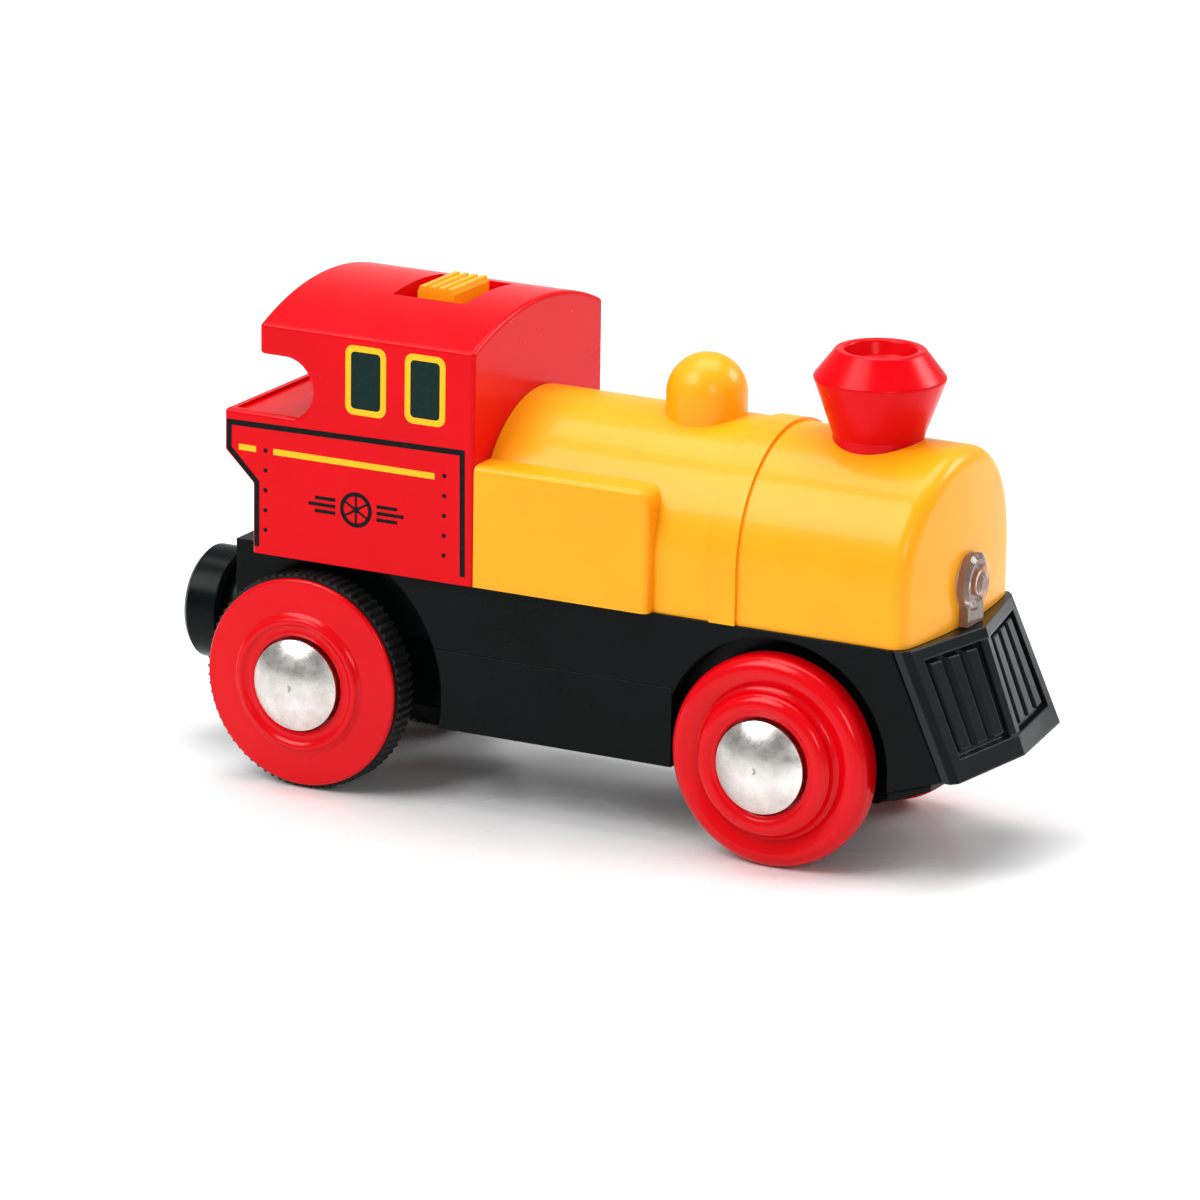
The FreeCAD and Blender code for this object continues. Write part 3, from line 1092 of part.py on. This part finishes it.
# ---------------------------------------------------------------- battery
def make_battery_cell():
    """R6 cell lying along X with its positive cap to the front."""
    centre = V(0, 0, CELL_Z)
    rear = CELL_REAR_X
    front = rear + CELL_BODY_LENGTH
    outline = [(0, rear), (CELL_R - 0.7, rear), (CELL_R, rear + 0.5), (CELL_R, front - 0.5),
               (CELL_R - 0.7, front), (CELL_NUB_R, front), (CELL_NUB_R, front + CELL_NUB_LENGTH),
               (0, front + CELL_NUB_LENGTH)]
    return spin(outline, centre, V(1, 0, 0))


def make_front_contact():
    x = CELL_FRONT_X + SEAT_GAP
    return box(x, x + CONTACT_THICK, -4.5, 4.5, CELL_Z - 5, CELL_Z + 5)


def make_rear_contact():
    """Contact plate with two turns of a cone spring, drawn as stepped rings."""
    x = BAY_REAR_X + SEAT_GAP
    plate = box(x, x + 0.3, -5, 5, CELL_Z - 5, CELL_Z + 5)
    first = rod_x(3.6, x + 0.3, x + 0.6, 0, CELL_Z).cut(rod_x(3.1, x, x + 1, 0, CELL_Z))
    second = rod_x(3.2, x + 0.6, CELL_REAR_X - SEAT_GAP, 0, CELL_Z).cut(rod_x(2.4, x, x + 2, 0, CELL_Z))
    return plate.fuse([first, second])


# ---------------------------------------------------------------- rear coupling
def make_coupling_barrel():
    """Black cup for the magnet, with a rounded rim and a neck to the chassis."""
    rear = BARREL_REAR_X
    front = rear + BARREL_LENGTH
    pocket = rear + MAGNET_LENGTH
    outline = [(PIN_R, pocket), (MAGNET_R + SEAT_GAP, pocket), (MAGNET_R + SEAT_GAP, rear),
               (BARREL_R - 0.6, rear), (BARREL_R, rear + 0.6), (BARREL_R, front - 0.5),
               (BARREL_R - 0.5, front), (NECK_R, front), (NECK_R, CORE_REAR_X - SEAT_GAP),
               (PIN_R, CORE_REAR_X - SEAT_GAP)]
    return spin(outline, V(0, 0, BARREL_Z), V(1, 0, 0))


def make_coupling_magnet():
    rear = BARREL_REAR_X + 0.1
    front = BARREL_REAR_X + MAGNET_LENGTH - SEAT_GAP
    outline = [(0, rear), (MAGNET_R - 0.4, rear), (MAGNET_R, rear + 0.4), (MAGNET_R, front), (0, front)]
    return spin(outline, V(0, 0, BARREL_Z), V(1, 0, 0))


def make_coupling_pin():
    return rod_x(PIN_R, BARREL_REAR_X + MAGNET_LENGTH, CORE_REAR_X + PIN_DEPTH, 0, BARREL_Z)


# ---------------------------------------------------------------- all pieces
os.makedirs("parts", exist_ok=True)

save("chassis", make_chassis())
save("front_keeper", make_front_keeper())
save("rear_keeper", make_rear_keeper())
save("keeper_screws", make_keeper_screws())
save("cowcatcher", make_cowcatcher())
save("cab_shell", make_cab_shell())
save("boiler_shell", make_boiler_shell())
save("body_screws", make_body_screws())
save("chimney", make_chimney())
save("headlamp_lens", make_headlamp_lens())
save("headlamp_led", make_headlamp_led())
save("switch_board", make_switch_board())
save("switch_pads", make_switch_pads())
save("switch_knob", make_switch_knob())
save("switch_wiper", make_switch_wiper())
save("battery_cell", make_battery_cell())
save("contact_front", make_front_contact())
save("contact_rear", make_rear_contact())
save("battery_cover", make_battery_cover())
save("cover_screw", make_cover_screw())
save("motor_can", make_motor_can())
save("motor_shaft", make_motor_shaft())
save("motor_pinion", make_motor_pinion())
save("gearbox_plate_inner", make_gearbox_plate_inner())
save("gearbox_plate_outer", make_gearbox_plate_outer())
save("gear_arbors", make_gear_arbors())
save("compound_gear_a", compound_gear(GEAR_A_CENTRE, GEAR_A_PHASE, LAYER_TWO, LAYER_ONE))
save("compound_gear_b", compound_gear(GEAR_B_CENTRE, GEAR_B_PHASE, LAYER_ONE, LANE))
save("idler_gear", make_idler_gear())
save("axle_gear", make_axle_gear())
save("rear_axle", make_axle(*AXLE_CENTRE))
save("front_axle", make_axle(FRONT_AXLE_X, FRONT_AXLE_Z))
save("coupling_barrel", make_coupling_barrel())
save("coupling_magnet", make_coupling_magnet())
save("coupling_pin", make_coupling_pin())

for side_name, place in (("left", lambda shape: shape), ("right", mirrored)):
    save("front_wheel_" + side_name, place(front_wheel()))
    save("rear_wheel_" + side_name, place(rear_wheel()))
    save("rear_tyre_" + side_name, place(rear_tyre()))
    save("front_hub_cap_" + side_name, place(hub_cap(FRONT_AXLE_X, FRONT_AXLE_Z)))
    save("rear_hub_cap_" + side_name, place(hub_cap(*AXLE_CENTRE)))
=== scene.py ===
"""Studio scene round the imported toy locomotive: materials, printed markings, light and camera."""
import json
import math
import bpy
import bmesh
from mathutils import Matrix, Vector


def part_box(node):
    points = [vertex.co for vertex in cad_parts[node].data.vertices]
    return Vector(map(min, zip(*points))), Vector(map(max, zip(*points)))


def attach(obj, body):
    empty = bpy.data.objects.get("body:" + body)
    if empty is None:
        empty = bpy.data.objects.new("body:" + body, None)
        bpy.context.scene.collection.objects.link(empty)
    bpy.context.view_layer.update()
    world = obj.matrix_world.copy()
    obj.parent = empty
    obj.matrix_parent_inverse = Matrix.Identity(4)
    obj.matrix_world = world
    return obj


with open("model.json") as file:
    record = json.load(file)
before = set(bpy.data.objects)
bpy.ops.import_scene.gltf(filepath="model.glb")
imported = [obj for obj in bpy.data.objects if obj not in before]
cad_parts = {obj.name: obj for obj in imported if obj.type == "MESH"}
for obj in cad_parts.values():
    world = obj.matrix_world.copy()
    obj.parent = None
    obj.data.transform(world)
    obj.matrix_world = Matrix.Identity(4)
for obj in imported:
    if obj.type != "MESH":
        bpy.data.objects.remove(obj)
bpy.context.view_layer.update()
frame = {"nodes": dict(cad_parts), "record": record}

MM = 0.001
ROOT = "locomotive_body"
PRINT_THICK = 0.03 * MM     # printed ink stands this proud of the cab's side


# ------------------------------------------------------------------ materials
class Nodes:
    """Short helper for one material's node tree."""

    def __init__(self, name):
        self.material = bpy.data.materials.new(name)
        self.material.use_nodes = True
        self.tree = self.material.node_tree
        self.shader = self.tree.nodes["Principled BSDF"]
        self.coords = self.add("ShaderNodeTexCoord").outputs["Object"]

    def add(self, kind, **values):
        node = self.tree.nodes.new(kind)
        for key, value in values.items():
            setattr(node, key, value)
        return node

    def link(self, source, target):
        self.tree.links.new(source, target)

    def set(self, **values):
        for key, value in values.items():
            self.shader.inputs[key.replace("_", " ")].default_value = value

    def noise(self, scale, detail=4.0, roughness=0.55, stretch=None):
        node = self.add("ShaderNodeTexNoise")
        node.inputs["Scale"].default_value = scale
        node.inputs["Detail"].default_value = detail
        node.inputs["Roughness"].default_value = roughness
        source = self.coords
        if stretch:
            mapping = self.add("ShaderNodeMapping")
            mapping.inputs["Scale"].default_value = stretch
            self.link(source, mapping.inputs["Vector"])
            source = mapping.outputs["Vector"]
        self.link(source, node.inputs["Vector"])
        return node.outputs["Fac"]

    def spread(self, factor, low, high, start=0.3, end=0.7):
        """Map a noise factor to a range of values."""
        node = self.add("ShaderNodeMapRange")
        node.inputs["From Min"].default_value = start
        node.inputs["From Max"].default_value = end
        node.inputs["To Min"].default_value = low
        node.inputs["To Max"].default_value = high
        self.link(factor, node.inputs["Value"])
        return node.outputs["Result"]

    def blend(self, factor, first, second):
        node = self.add("ShaderNodeMix", data_type="RGBA")
        node.inputs["A"].default_value = (*first, 1)
        node.inputs["B"].default_value = (*second, 1)
        self.link(factor, node.inputs["Factor"])
        return node.outputs["Result"]

    def bump(self, height, strength, distance, edge_r=0.0):
        """Fine relief, over edges that a mould leaves slightly soft."""
        node = self.add("ShaderNodeBump")
        if edge_r:
            soft = self.add("ShaderNodeBevel", samples=4)
            soft.inputs["Radius"].default_value = edge_r
            self.link(soft.outputs["Normal"], node.inputs["Normal"])
        node.inputs["Strength"].default_value = strength
        node.inputs["Distance"].default_value = distance
        self.link(height, node.inputs["Height"])
        self.link(node.outputs["Normal"], self.shader.inputs["Normal"])


def moulded_plastic(name, light, dark, rough=(0.12, 0.2), coat=0.3, orange_peel=0.04, subsurface=0.0,
                    sheen_level=0.3, edge_r=0.0):
    """Gloss or satin moulded plastic: faint flow mottling and orange peel."""
    n = Nodes(name)
    mottle = n.noise(90.0, 5.0)
    tone = n.spread(mottle, 0.0, 1.0, 0.35, 0.65)
    n.link(n.blend(tone, light, dark), n.shader.inputs["Base Color"])
    smear = n.noise(260.0, 6.0, 0.65)
    n.link(n.spread(smear, rough[0], rough[1]), n.shader.inputs["Roughness"])
    n.set(Coat_Weight=coat, Coat_Roughness=0.06, IOR=1.5, Specular_IOR_Level=sheen_level)
    if subsurface:
        n.set(Subsurface_Weight=subsurface, Subsurface_Radius=(1.0, 0.4, 0.2), Subsurface_Scale=0.6 * MM)
    n.bump(n.noise(900.0, 2.0), orange_peel, 0.05 * MM, edge_r)
    return n.material


def rubber(name):
    n = Nodes(name)
    grain = n.noise(2400.0, 4.0)
    dust = n.noise(300.0, 6.0, 0.7)
    n.link(n.blend(n.spread(dust, 0.0, 1.0, 0.45, 0.75), (0.012, 0.013, 0.013), (0.045, 0.046, 0.045)),
           n.shader.inputs["Base Color"])
    n.link(n.spread(grain, 0.5, 0.75), n.shader.inputs["Roughness"])
    n.bump(grain, 0.3, 0.06 * MM)
    return n.material


def metal(name, light, dark, rough=(0.16, 0.3), scratch=0.12):
    """Drawn or plated metal with small dents, faint tarnish and fine scratches."""
    n = Nodes(name)
    tarnish = n.noise(420.0, 6.0, 0.6)
    n.link(n.blend(n.spread(tarnish, 0.0, 1.0), light, dark), n.shader.inputs["Base Color"])
    wear = n.noise(700.0, 5.0, 0.7)
    n.link(n.spread(wear, rough[0], rough[1]), n.shader.inputs["Roughness"])
    n.set(Metallic=1.0)
    n.bump(n.noise(500.0, 5.0, 0.6), scratch, 0.08 * MM)
    return n.material


def clear_plastic(name, tint):
    n = Nodes(name)
    haze = n.noise(800.0, 3.0)
    n.link(n.spread(haze, 0.02, 0.08), n.shader.inputs["Roughness"])
    duller = tuple(0.94 * c for c in tint)
    n.link(n.blend(n.spread(haze, 0.0, 1.0), tint, duller), n.shader.inputs["Base Color"])
    n.set(Transmission_Weight=0.85, IOR=1.49)
    n.bump(haze, 0.05, 0.05 * MM)
    return n.material


def ink(name, colour, rough=0.3):
    """Pad-printed ink: slightly uneven in density."""
    n = Nodes(name)
    density = n.noise(1800.0, 3.0)
    faded = tuple(c * 0.85 + 0.01 for c in colour)
    n.link(n.blend(n.spread(density, 0.0, 1.0), colour, faded), n.shader.inputs["Base Color"])
    n.link(n.spread(density, rough, rough + 0.08), n.shader.inputs["Roughness"])
    n.set(Specular_IOR_Level=0.1)
    n.bump(density, 0.08, 0.02 * MM)
    return n.material


MOULD_EDGE = 0.3 * MM       # softness of a moulded edge
RED = (0.70, 0.001, 0.008)
RED_DEEP = (0.65, 0.001, 0.007)
YELLOW = (0.96, 0.42, 0.012)
YELLOW_DEEP = (0.92, 0.39, 0.010)
MATERIALS = {
    "red_plastic": moulded_plastic("red_plastic", RED, RED_DEEP, (0.22, 0.28), 0.0, 0.03, sheen_level=0.2),
    "wheel_red": moulded_plastic("wheel_red", RED, RED_DEEP, (0.16, 0.24), 0.12, 0.05, sheen_level=0.25),
    "yellow_plastic": moulded_plastic("yellow_plastic", YELLOW, YELLOW_DEEP, (0.3, 0.38), 0.16, 0.03, 0.1),
    "black_plastic": moulded_plastic("black_plastic", (0.004, 0.007, 0.007), (0.003, 0.005, 0.005),
                                     (0.22, 0.3), 0.0, 0.06, sheen_level=0.15, edge_r=MOULD_EDGE),
    "black_gloss": moulded_plastic("black_gloss", (0.010, 0.014, 0.016), (0.008, 0.011, 0.012),
                                   (0.18, 0.26), 0.2, 0.03, edge_r=MOULD_EDGE),
    "tyre_rubber": rubber("tyre_rubber"),
    "hub_steel": metal("hub_steel", (0.80, 0.78, 0.75), (0.60, 0.58, 0.55), (0.2, 0.38), 0.25),
    "lens_clear": clear_plastic("lens_clear", (1.0, 0.80, 0.72)),
    "led_epoxy": moulded_plastic("led_epoxy", (0.9, 0.55, 0.4), (0.8, 0.45, 0.3), (0.1, 0.16)),
    "board_green": moulded_plastic("board_green", (0.02, 0.16, 0.06), (0.015, 0.12, 0.05), (0.25, 0.35)),
    "contact_brass": metal("contact_brass", (0.83, 0.62, 0.28), (0.65, 0.47, 0.2)),
    "contact_nickel": metal("contact_nickel", (0.78, 0.77, 0.74), (0.62, 0.61, 0.58)),
    "magnet_nickel": metal("magnet_nickel", (0.56, 0.56, 0.55), (0.42, 0.42, 0.41), (0.2, 0.3), 0.08),
    "screw_steel": metal("screw_steel", (0.66, 0.66, 0.66), (0.5, 0.5, 0.5), (0.25, 0.4), 0.15),
    "motor_steel": metal("motor_steel", (0.7, 0.7, 0.69), (0.56, 0.56, 0.55), (0.25, 0.38), 0.1),
    "gear_white": moulded_plastic("gear_white", (0.82, 0.81, 0.76), (0.76, 0.75, 0.7), (0.3, 0.42), 0.0),
    "cell_jacket": moulded_plastic("cell_jacket", (0.05, 0.055, 0.07), (0.035, 0.04, 0.05), (0.2, 0.3)),
}
INK_BLACK = ink("ink_black", (0.006, 0.010, 0.010))
INK_YELLOW = ink("ink_yellow", (0.98, 0.55, 0.03))
INK_WINDOW = ink("ink_window", (0.008, 0.030, 0.026), 0.16)


GLOSSIER = {"cowcatcher": "black_gloss"}     # pieces with more shine than their slot's usual finish


def dress_nodes():
    """Give every carried-over CAD node its slot's material."""
    slots = {row["node"]: row["material_slot"] for row in frame["record"]["subparts"]}
    for name, obj in frame["nodes"].items():
        material = MATERIALS[GLOSSIER.get(name, slots[name])]
        obj.data.materials.clear()
        obj.data.materials.append(material)


# ------------------------------------------------------------------ printed markings
def new_piece(name, mesh, material):
    obj = bpy.data.objects.new(name, mesh)
    bpy.context.scene.collection.objects.link(obj)
    obj.data.materials.append(material)
    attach(obj, ROOT)


def plate_from_loops(name, loops, material, side):
    """Thin print on the cab's side from outer and inner (x, z) outlines in mm."""
    curve = bpy.data.curves.new(name, "CURVE")
    curve.dimensions = "2D"
    curve.fill_mode = "BOTH"
    curve.extrude = PRINT_THICK / 2
    for loop in loops:
        spline = curve.splines.new("POLY")
        spline.points.add(len(loop) - 1)
        for point, (x, z) in zip(spline.points, loop):
            point.co = (x * MM, z * MM, 0, 1)
        spline.use_cyclic_u = True
    holder = bpy.data.objects.new(name + "_curve", curve)
    bpy.context.scene.collection.objects.link(holder)
    mesh = bpy.data.meshes.new_from_object(holder.evaluated_get(bpy.context.evaluated_depsgraph_get()))
    bpy.data.objects.remove(holder)
    bpy.data.curves.remove(curve)
    high_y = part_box("cab_shell")[1][1]
    middle_y = side * (high_y + PRINT_THICK / 2)
    for vertex in mesh.vertices:
        x, z, depth = vertex.co
        vertex.co = (x, middle_y - side * depth, z)
    bm = bmesh.new()
    bm.from_mesh(mesh)
    bmesh.ops.recalc_face_normals(bm, faces=bm.faces)
    bm.to_mesh(mesh)
    bm.free()
    mesh.name = name
    new_piece(name, mesh, material)


def rounded_rectangle(x0, x1, z0, z1, radius, steps=6):
    points = []
    for cx, cz, start in ((x1 - radius, z1 - radius, 0), (x0 + radius, z1 - radius, 90),
                          (x0 + radius, z0 + radius, 180), (x1 - radius, z0 + radius, 270)):
        for k in range(steps + 1):
            angle = math.radians(start + 90 * k / steps)
            points.append((cx + radius * math.cos(angle), cz + radius * math.sin(angle)))
    return points


def circle(x, z, radius, steps=20):
    return [(x + radius * math.cos(2 * math.pi * k / steps), z + radius * math.sin(2 * math.pi * k / steps))
            for k in range(steps)]


def strip(points, width):
    """Closed outline of a line of the given width with mitred corners."""
    left = []
    right = []
    for i, (x, z) in enumerate(points):
        before = points[max(i - 1, 0)]
        after = points[min(i + 1, len(points) - 1)]
        a = Vector((x - before[0], z - before[1]))
        b = Vector((after[0] - x, after[1] - z))
        a = a.normalized() if a.length else b.normalized()
        b = b.normalized() if b.length else a
        normal = Vector((-(a + b).y, (a + b).x)).normalized()
        reach = width / 2 / max(0.3, normal.dot(Vector((-a.y, a.x))))
        left.append((x + normal.x * reach, z + normal.y * reach))
        right.append((x - normal.x * reach, z - normal.y * reach))
    return left + right[::-1]


WINDOWS = {"rear": (-25.0, -19.9), "front": (-17.55, -12.5)}
WINDOW_LOW, WINDOW_HIGH, WINDOW_FRAME = 43.55, 51.4, 0.7
BORDER = [(-36.2, 26.85), (-36.2, 34.2), (-39.75, 37.7), (-39.75, 40.65), (-10.35, 41.05), (-10.2, 27.05)]
BORDER_WIDTH = 0.62
STRIPE_Z, STRIPE_HEIGHT = 37.95, 0.7
STRIPES = {"short": (-38.5, -36.3), "long": (-34.1, -13.75)}
RIVET_R = 0.25
RIVETS = {"rear": (-35.1, (37.95, 35.68, 33.4, 31.13, 28.85)),
          "front": (-12.55, (38.15, 35.9, 33.65, 31.4, 29.15))}


def print_side(side):
    tag = "left" if side > 0 else "right"
    for name, (x0, x1) in WINDOWS.items():
        outer = rounded_rectangle(x0, x1, WINDOW_LOW, WINDOW_HIGH, 1.0)
        inset = WINDOW_FRAME
        inner = rounded_rectangle(x0 + inset, x1 - inset, WINDOW_LOW + inset, WINDOW_HIGH - inset, 0.5)
        plate_from_loops(f"window_frame_{name}_{tag}", [outer, inner], INK_YELLOW, side)
        plate_from_loops(f"window_pane_{name}_{tag}", [inner], INK_WINDOW, side)
    plate_from_loops(f"border_line_{tag}", [strip(BORDER, BORDER_WIDTH)], INK_BLACK, side)
    for name, (x0, x1) in STRIPES.items():
        low, high = STRIPE_Z - STRIPE_HEIGHT / 2, STRIPE_Z + STRIPE_HEIGHT / 2
        loop = [(x0, low), (x1, low), (x1, high), (x0, high)]
        plate_from_loops(f"stripe_{name}_{tag}", [loop], INK_YELLOW, side)
    for name, (x, heights) in RIVETS.items():
        dots = [circle(x, z, RIVET_R) for z in heights]
        plate_from_loops(f"rivet_dots_{name}_{tag}", dots, INK_BLACK, side)
    emblem(side, tag)


EMBLEM_PLACE = (-23.6, 32.75)
EMBLEM_R, EMBLEM_RIM, EMBLEM_HUB_R = 2.0, 0.45, 0.4
EMBLEM_SPOKES, EMBLEM_SPOKE_WIDTH = 6, 0.24
EMBLEM_BARS = ((0.75, 5.2), (0.0, 6.0), (-0.75, 5.2))    # height and outer end of each bar
EMBLEM_BAR_START, EMBLEM_BAR_WIDTH = 2.6, 0.38


def emblem(side, tag):
    """Plain spoked wheel between two bars, in place of any lettering."""
    x, z = EMBLEM_PLACE
    rim_inside = EMBLEM_R - EMBLEM_RIM
    loops = [circle(x, z, EMBLEM_R, 40), circle(x, z, rim_inside, 40), circle(x, z, EMBLEM_HUB_R, 16)]
    plate_from_loops(f"emblem_ring_{tag}", loops, INK_BLACK, side)
    spokes = []
    for k in range(EMBLEM_SPOKES):
        angle = 2 * math.pi * (k + 0.5) / EMBLEM_SPOKES
        c, s = math.cos(angle), math.sin(angle)
        near, far = EMBLEM_HUB_R + 0.01, rim_inside - 0.01
        spokes.append(strip([(x + near * c, z + near * s), (x + far * c, z + far * s)], EMBLEM_SPOKE_WIDTH))
    plate_from_loops(f"emblem_spokes_{tag}", spokes, INK_BLACK, side)
    bars = []
    for way in (-1, 1):
        for level, reach in EMBLEM_BARS:
            near = x + way * EMBLEM_BAR_START
            far = x + way * reach
            bars.append(strip([(near, z + level), (far, z + level)], EMBLEM_BAR_WIDTH))
    plate_from_loops(f"emblem_bars_{tag}", bars, INK_BLACK, side)


# ------------------------------------------------------------------ studio
FLOOR_REACH, FLOOR_BACK, FLOOR_BEND, FLOOR_HEIGHT, FLOOR_STEPS = 3.0, 1.6, 0.8, 3.0, 12


def make_floor():
    """Glossy white sweep: flat floor that curves up into the backdrop."""
    profile = [(-FLOOR_REACH, 0.0)]
    for k in range(FLOOR_STEPS + 1):
        angle = math.radians(90 * k / FLOOR_STEPS)
        rise = FLOOR_BEND - FLOOR_BEND * math.cos(angle)
        profile.append((FLOOR_BACK + FLOOR_BEND * math.sin(angle), rise))
    profile.append((FLOOR_BACK + FLOOR_BEND, FLOOR_HEIGHT))
    bm = bmesh.new()
    rows = []
    for u, z in profile:
        rows.append([bm.verts.new((x, u, z)) for x in (-FLOOR_REACH, FLOOR_REACH)])
    for a, b in zip(rows, rows[1:]):
        bm.faces.new((a[0], a[1], b[1], b[0]))
    bmesh.ops.recalc_face_normals(bm, faces=bm.faces)
    mesh = bpy.data.meshes.new("floor")
    bm.to_mesh(mesh)
    bm.free()
    mesh.transform(Matrix.Rotation(math.radians(CAMERA_AZIMUTH), 4, "Z"))
    floor = bpy.data.objects.new("floor", mesh)
    bpy.context.scene.collection.objects.link(floor)
    n = Nodes("floor_white")
    mottle = n.noise(3.0, 3.0)
    n.link(n.blend(n.spread(mottle, 0.0, 1.0), (0.93, 0.93, 0.93), (0.90, 0.90, 0.905)),
           n.shader.inputs["Base Color"])
    n.link(n.spread(n.noise(20.0), 0.22, 0.3), n.shader.inputs["Roughness"])
    n.set(Specular_IOR_Level=0.3)
    mesh.materials.append(n.material)
    for polygon in mesh.polygons:
        polygon.use_smooth = True


LIGHT_TARGET = Vector((0, 0, 25 * MM))       # middle of the locomotive


def area_light(name, place, size, power):
    data = bpy.data.lights.new(name, "AREA")
    data.shape = "RECTANGLE"
    data.size, data.size_y = size
    data.energy = power
    obj = bpy.data.objects.new(name, data)
    obj.location = place
    way = LIGHT_TARGET - place
    obj.rotation_euler = way.to_track_quat("-Z", "Y").to_euler()
    bpy.context.scene.collection.objects.link(obj)


CAMERA_AZIMUTH = 27.55
CAMERA_ELEVATION = 16.08
CAMERA_ROLL = 0.84
CAMERA_DISTANCE = 827.6 * MM
CAMERA_TARGET = Vector((-1.0 * MM, 0, 22.05 * MM))
CAMERA_LENS = 224.3


def view_axes():
    """Right, up and back directions of the camera."""
    a, e, r = (math.radians(v) for v in (CAMERA_AZIMUTH, CAMERA_ELEVATION, CAMERA_ROLL))
    back = Vector((math.sin(a) * math.cos(e), -math.cos(a) * math.cos(e), math.sin(e)))
    right = Vector((math.cos(a), math.sin(a), 0))
    up = back.cross(right)
    return math.cos(r) * right + math.sin(r) * up, math.cos(r) * up - math.sin(r) * right, back


def make_camera():
    data = bpy.data.cameras.new("camera")
    data.lens = CAMERA_LENS
    data.sensor_width = 36.0
    data.clip_end = 20.0
    camera = bpy.data.objects.new("camera", data)
    right, up, back = view_axes()
    matrix = Matrix((right, up, back)).transposed().to_4x4()
    matrix.translation = CAMERA_TARGET + back * CAMERA_DISTANCE
    camera.matrix_world = matrix
    bpy.context.scene.collection.objects.link(camera)
    bpy.context.scene.camera = camera


def make_light():
    world = bpy.data.worlds.new("studio")
    world.use_nodes = True
    background = world.node_tree.nodes["Background"]
    background.inputs["Color"].default_value = (1, 1, 1, 1)
    background.inputs["Strength"].default_value = 0.3
    bpy.context.scene.world = world
    bpy.context.scene.view_settings.view_transform = "Standard"
    bpy.context.scene.view_settings.look = "Medium High Contrast"
    right, up, back = view_axes()
    level_back = Vector((back.x, back.y, 0)).normalized()
    key = level_back * 0.5 + right * (-0.9) + Vector((0, 0, 1.1))
    area_light("key", key, (0.9, 0.9), 12.0)
    top = level_back * (-0.25) + Vector((0, 0, 1.5))
    area_light("top", top, (1.4, 1.0), 15.0)
    side = right * 1.15 - level_back * 0.35 + Vector((0, 0, 0.72))
    area_light("front_side", side, (0.6, 0.45), 6.5)
    fill = level_back * 1.35 + right * 0.4 + Vector((0, 0, 0.6))
    area_light("front_fill", fill, (0.35, 0.5), 3.0)


dress_nodes()
for side_sign in (1, -1):
    print_side(side_sign)
make_floor()
make_camera()
make_light()
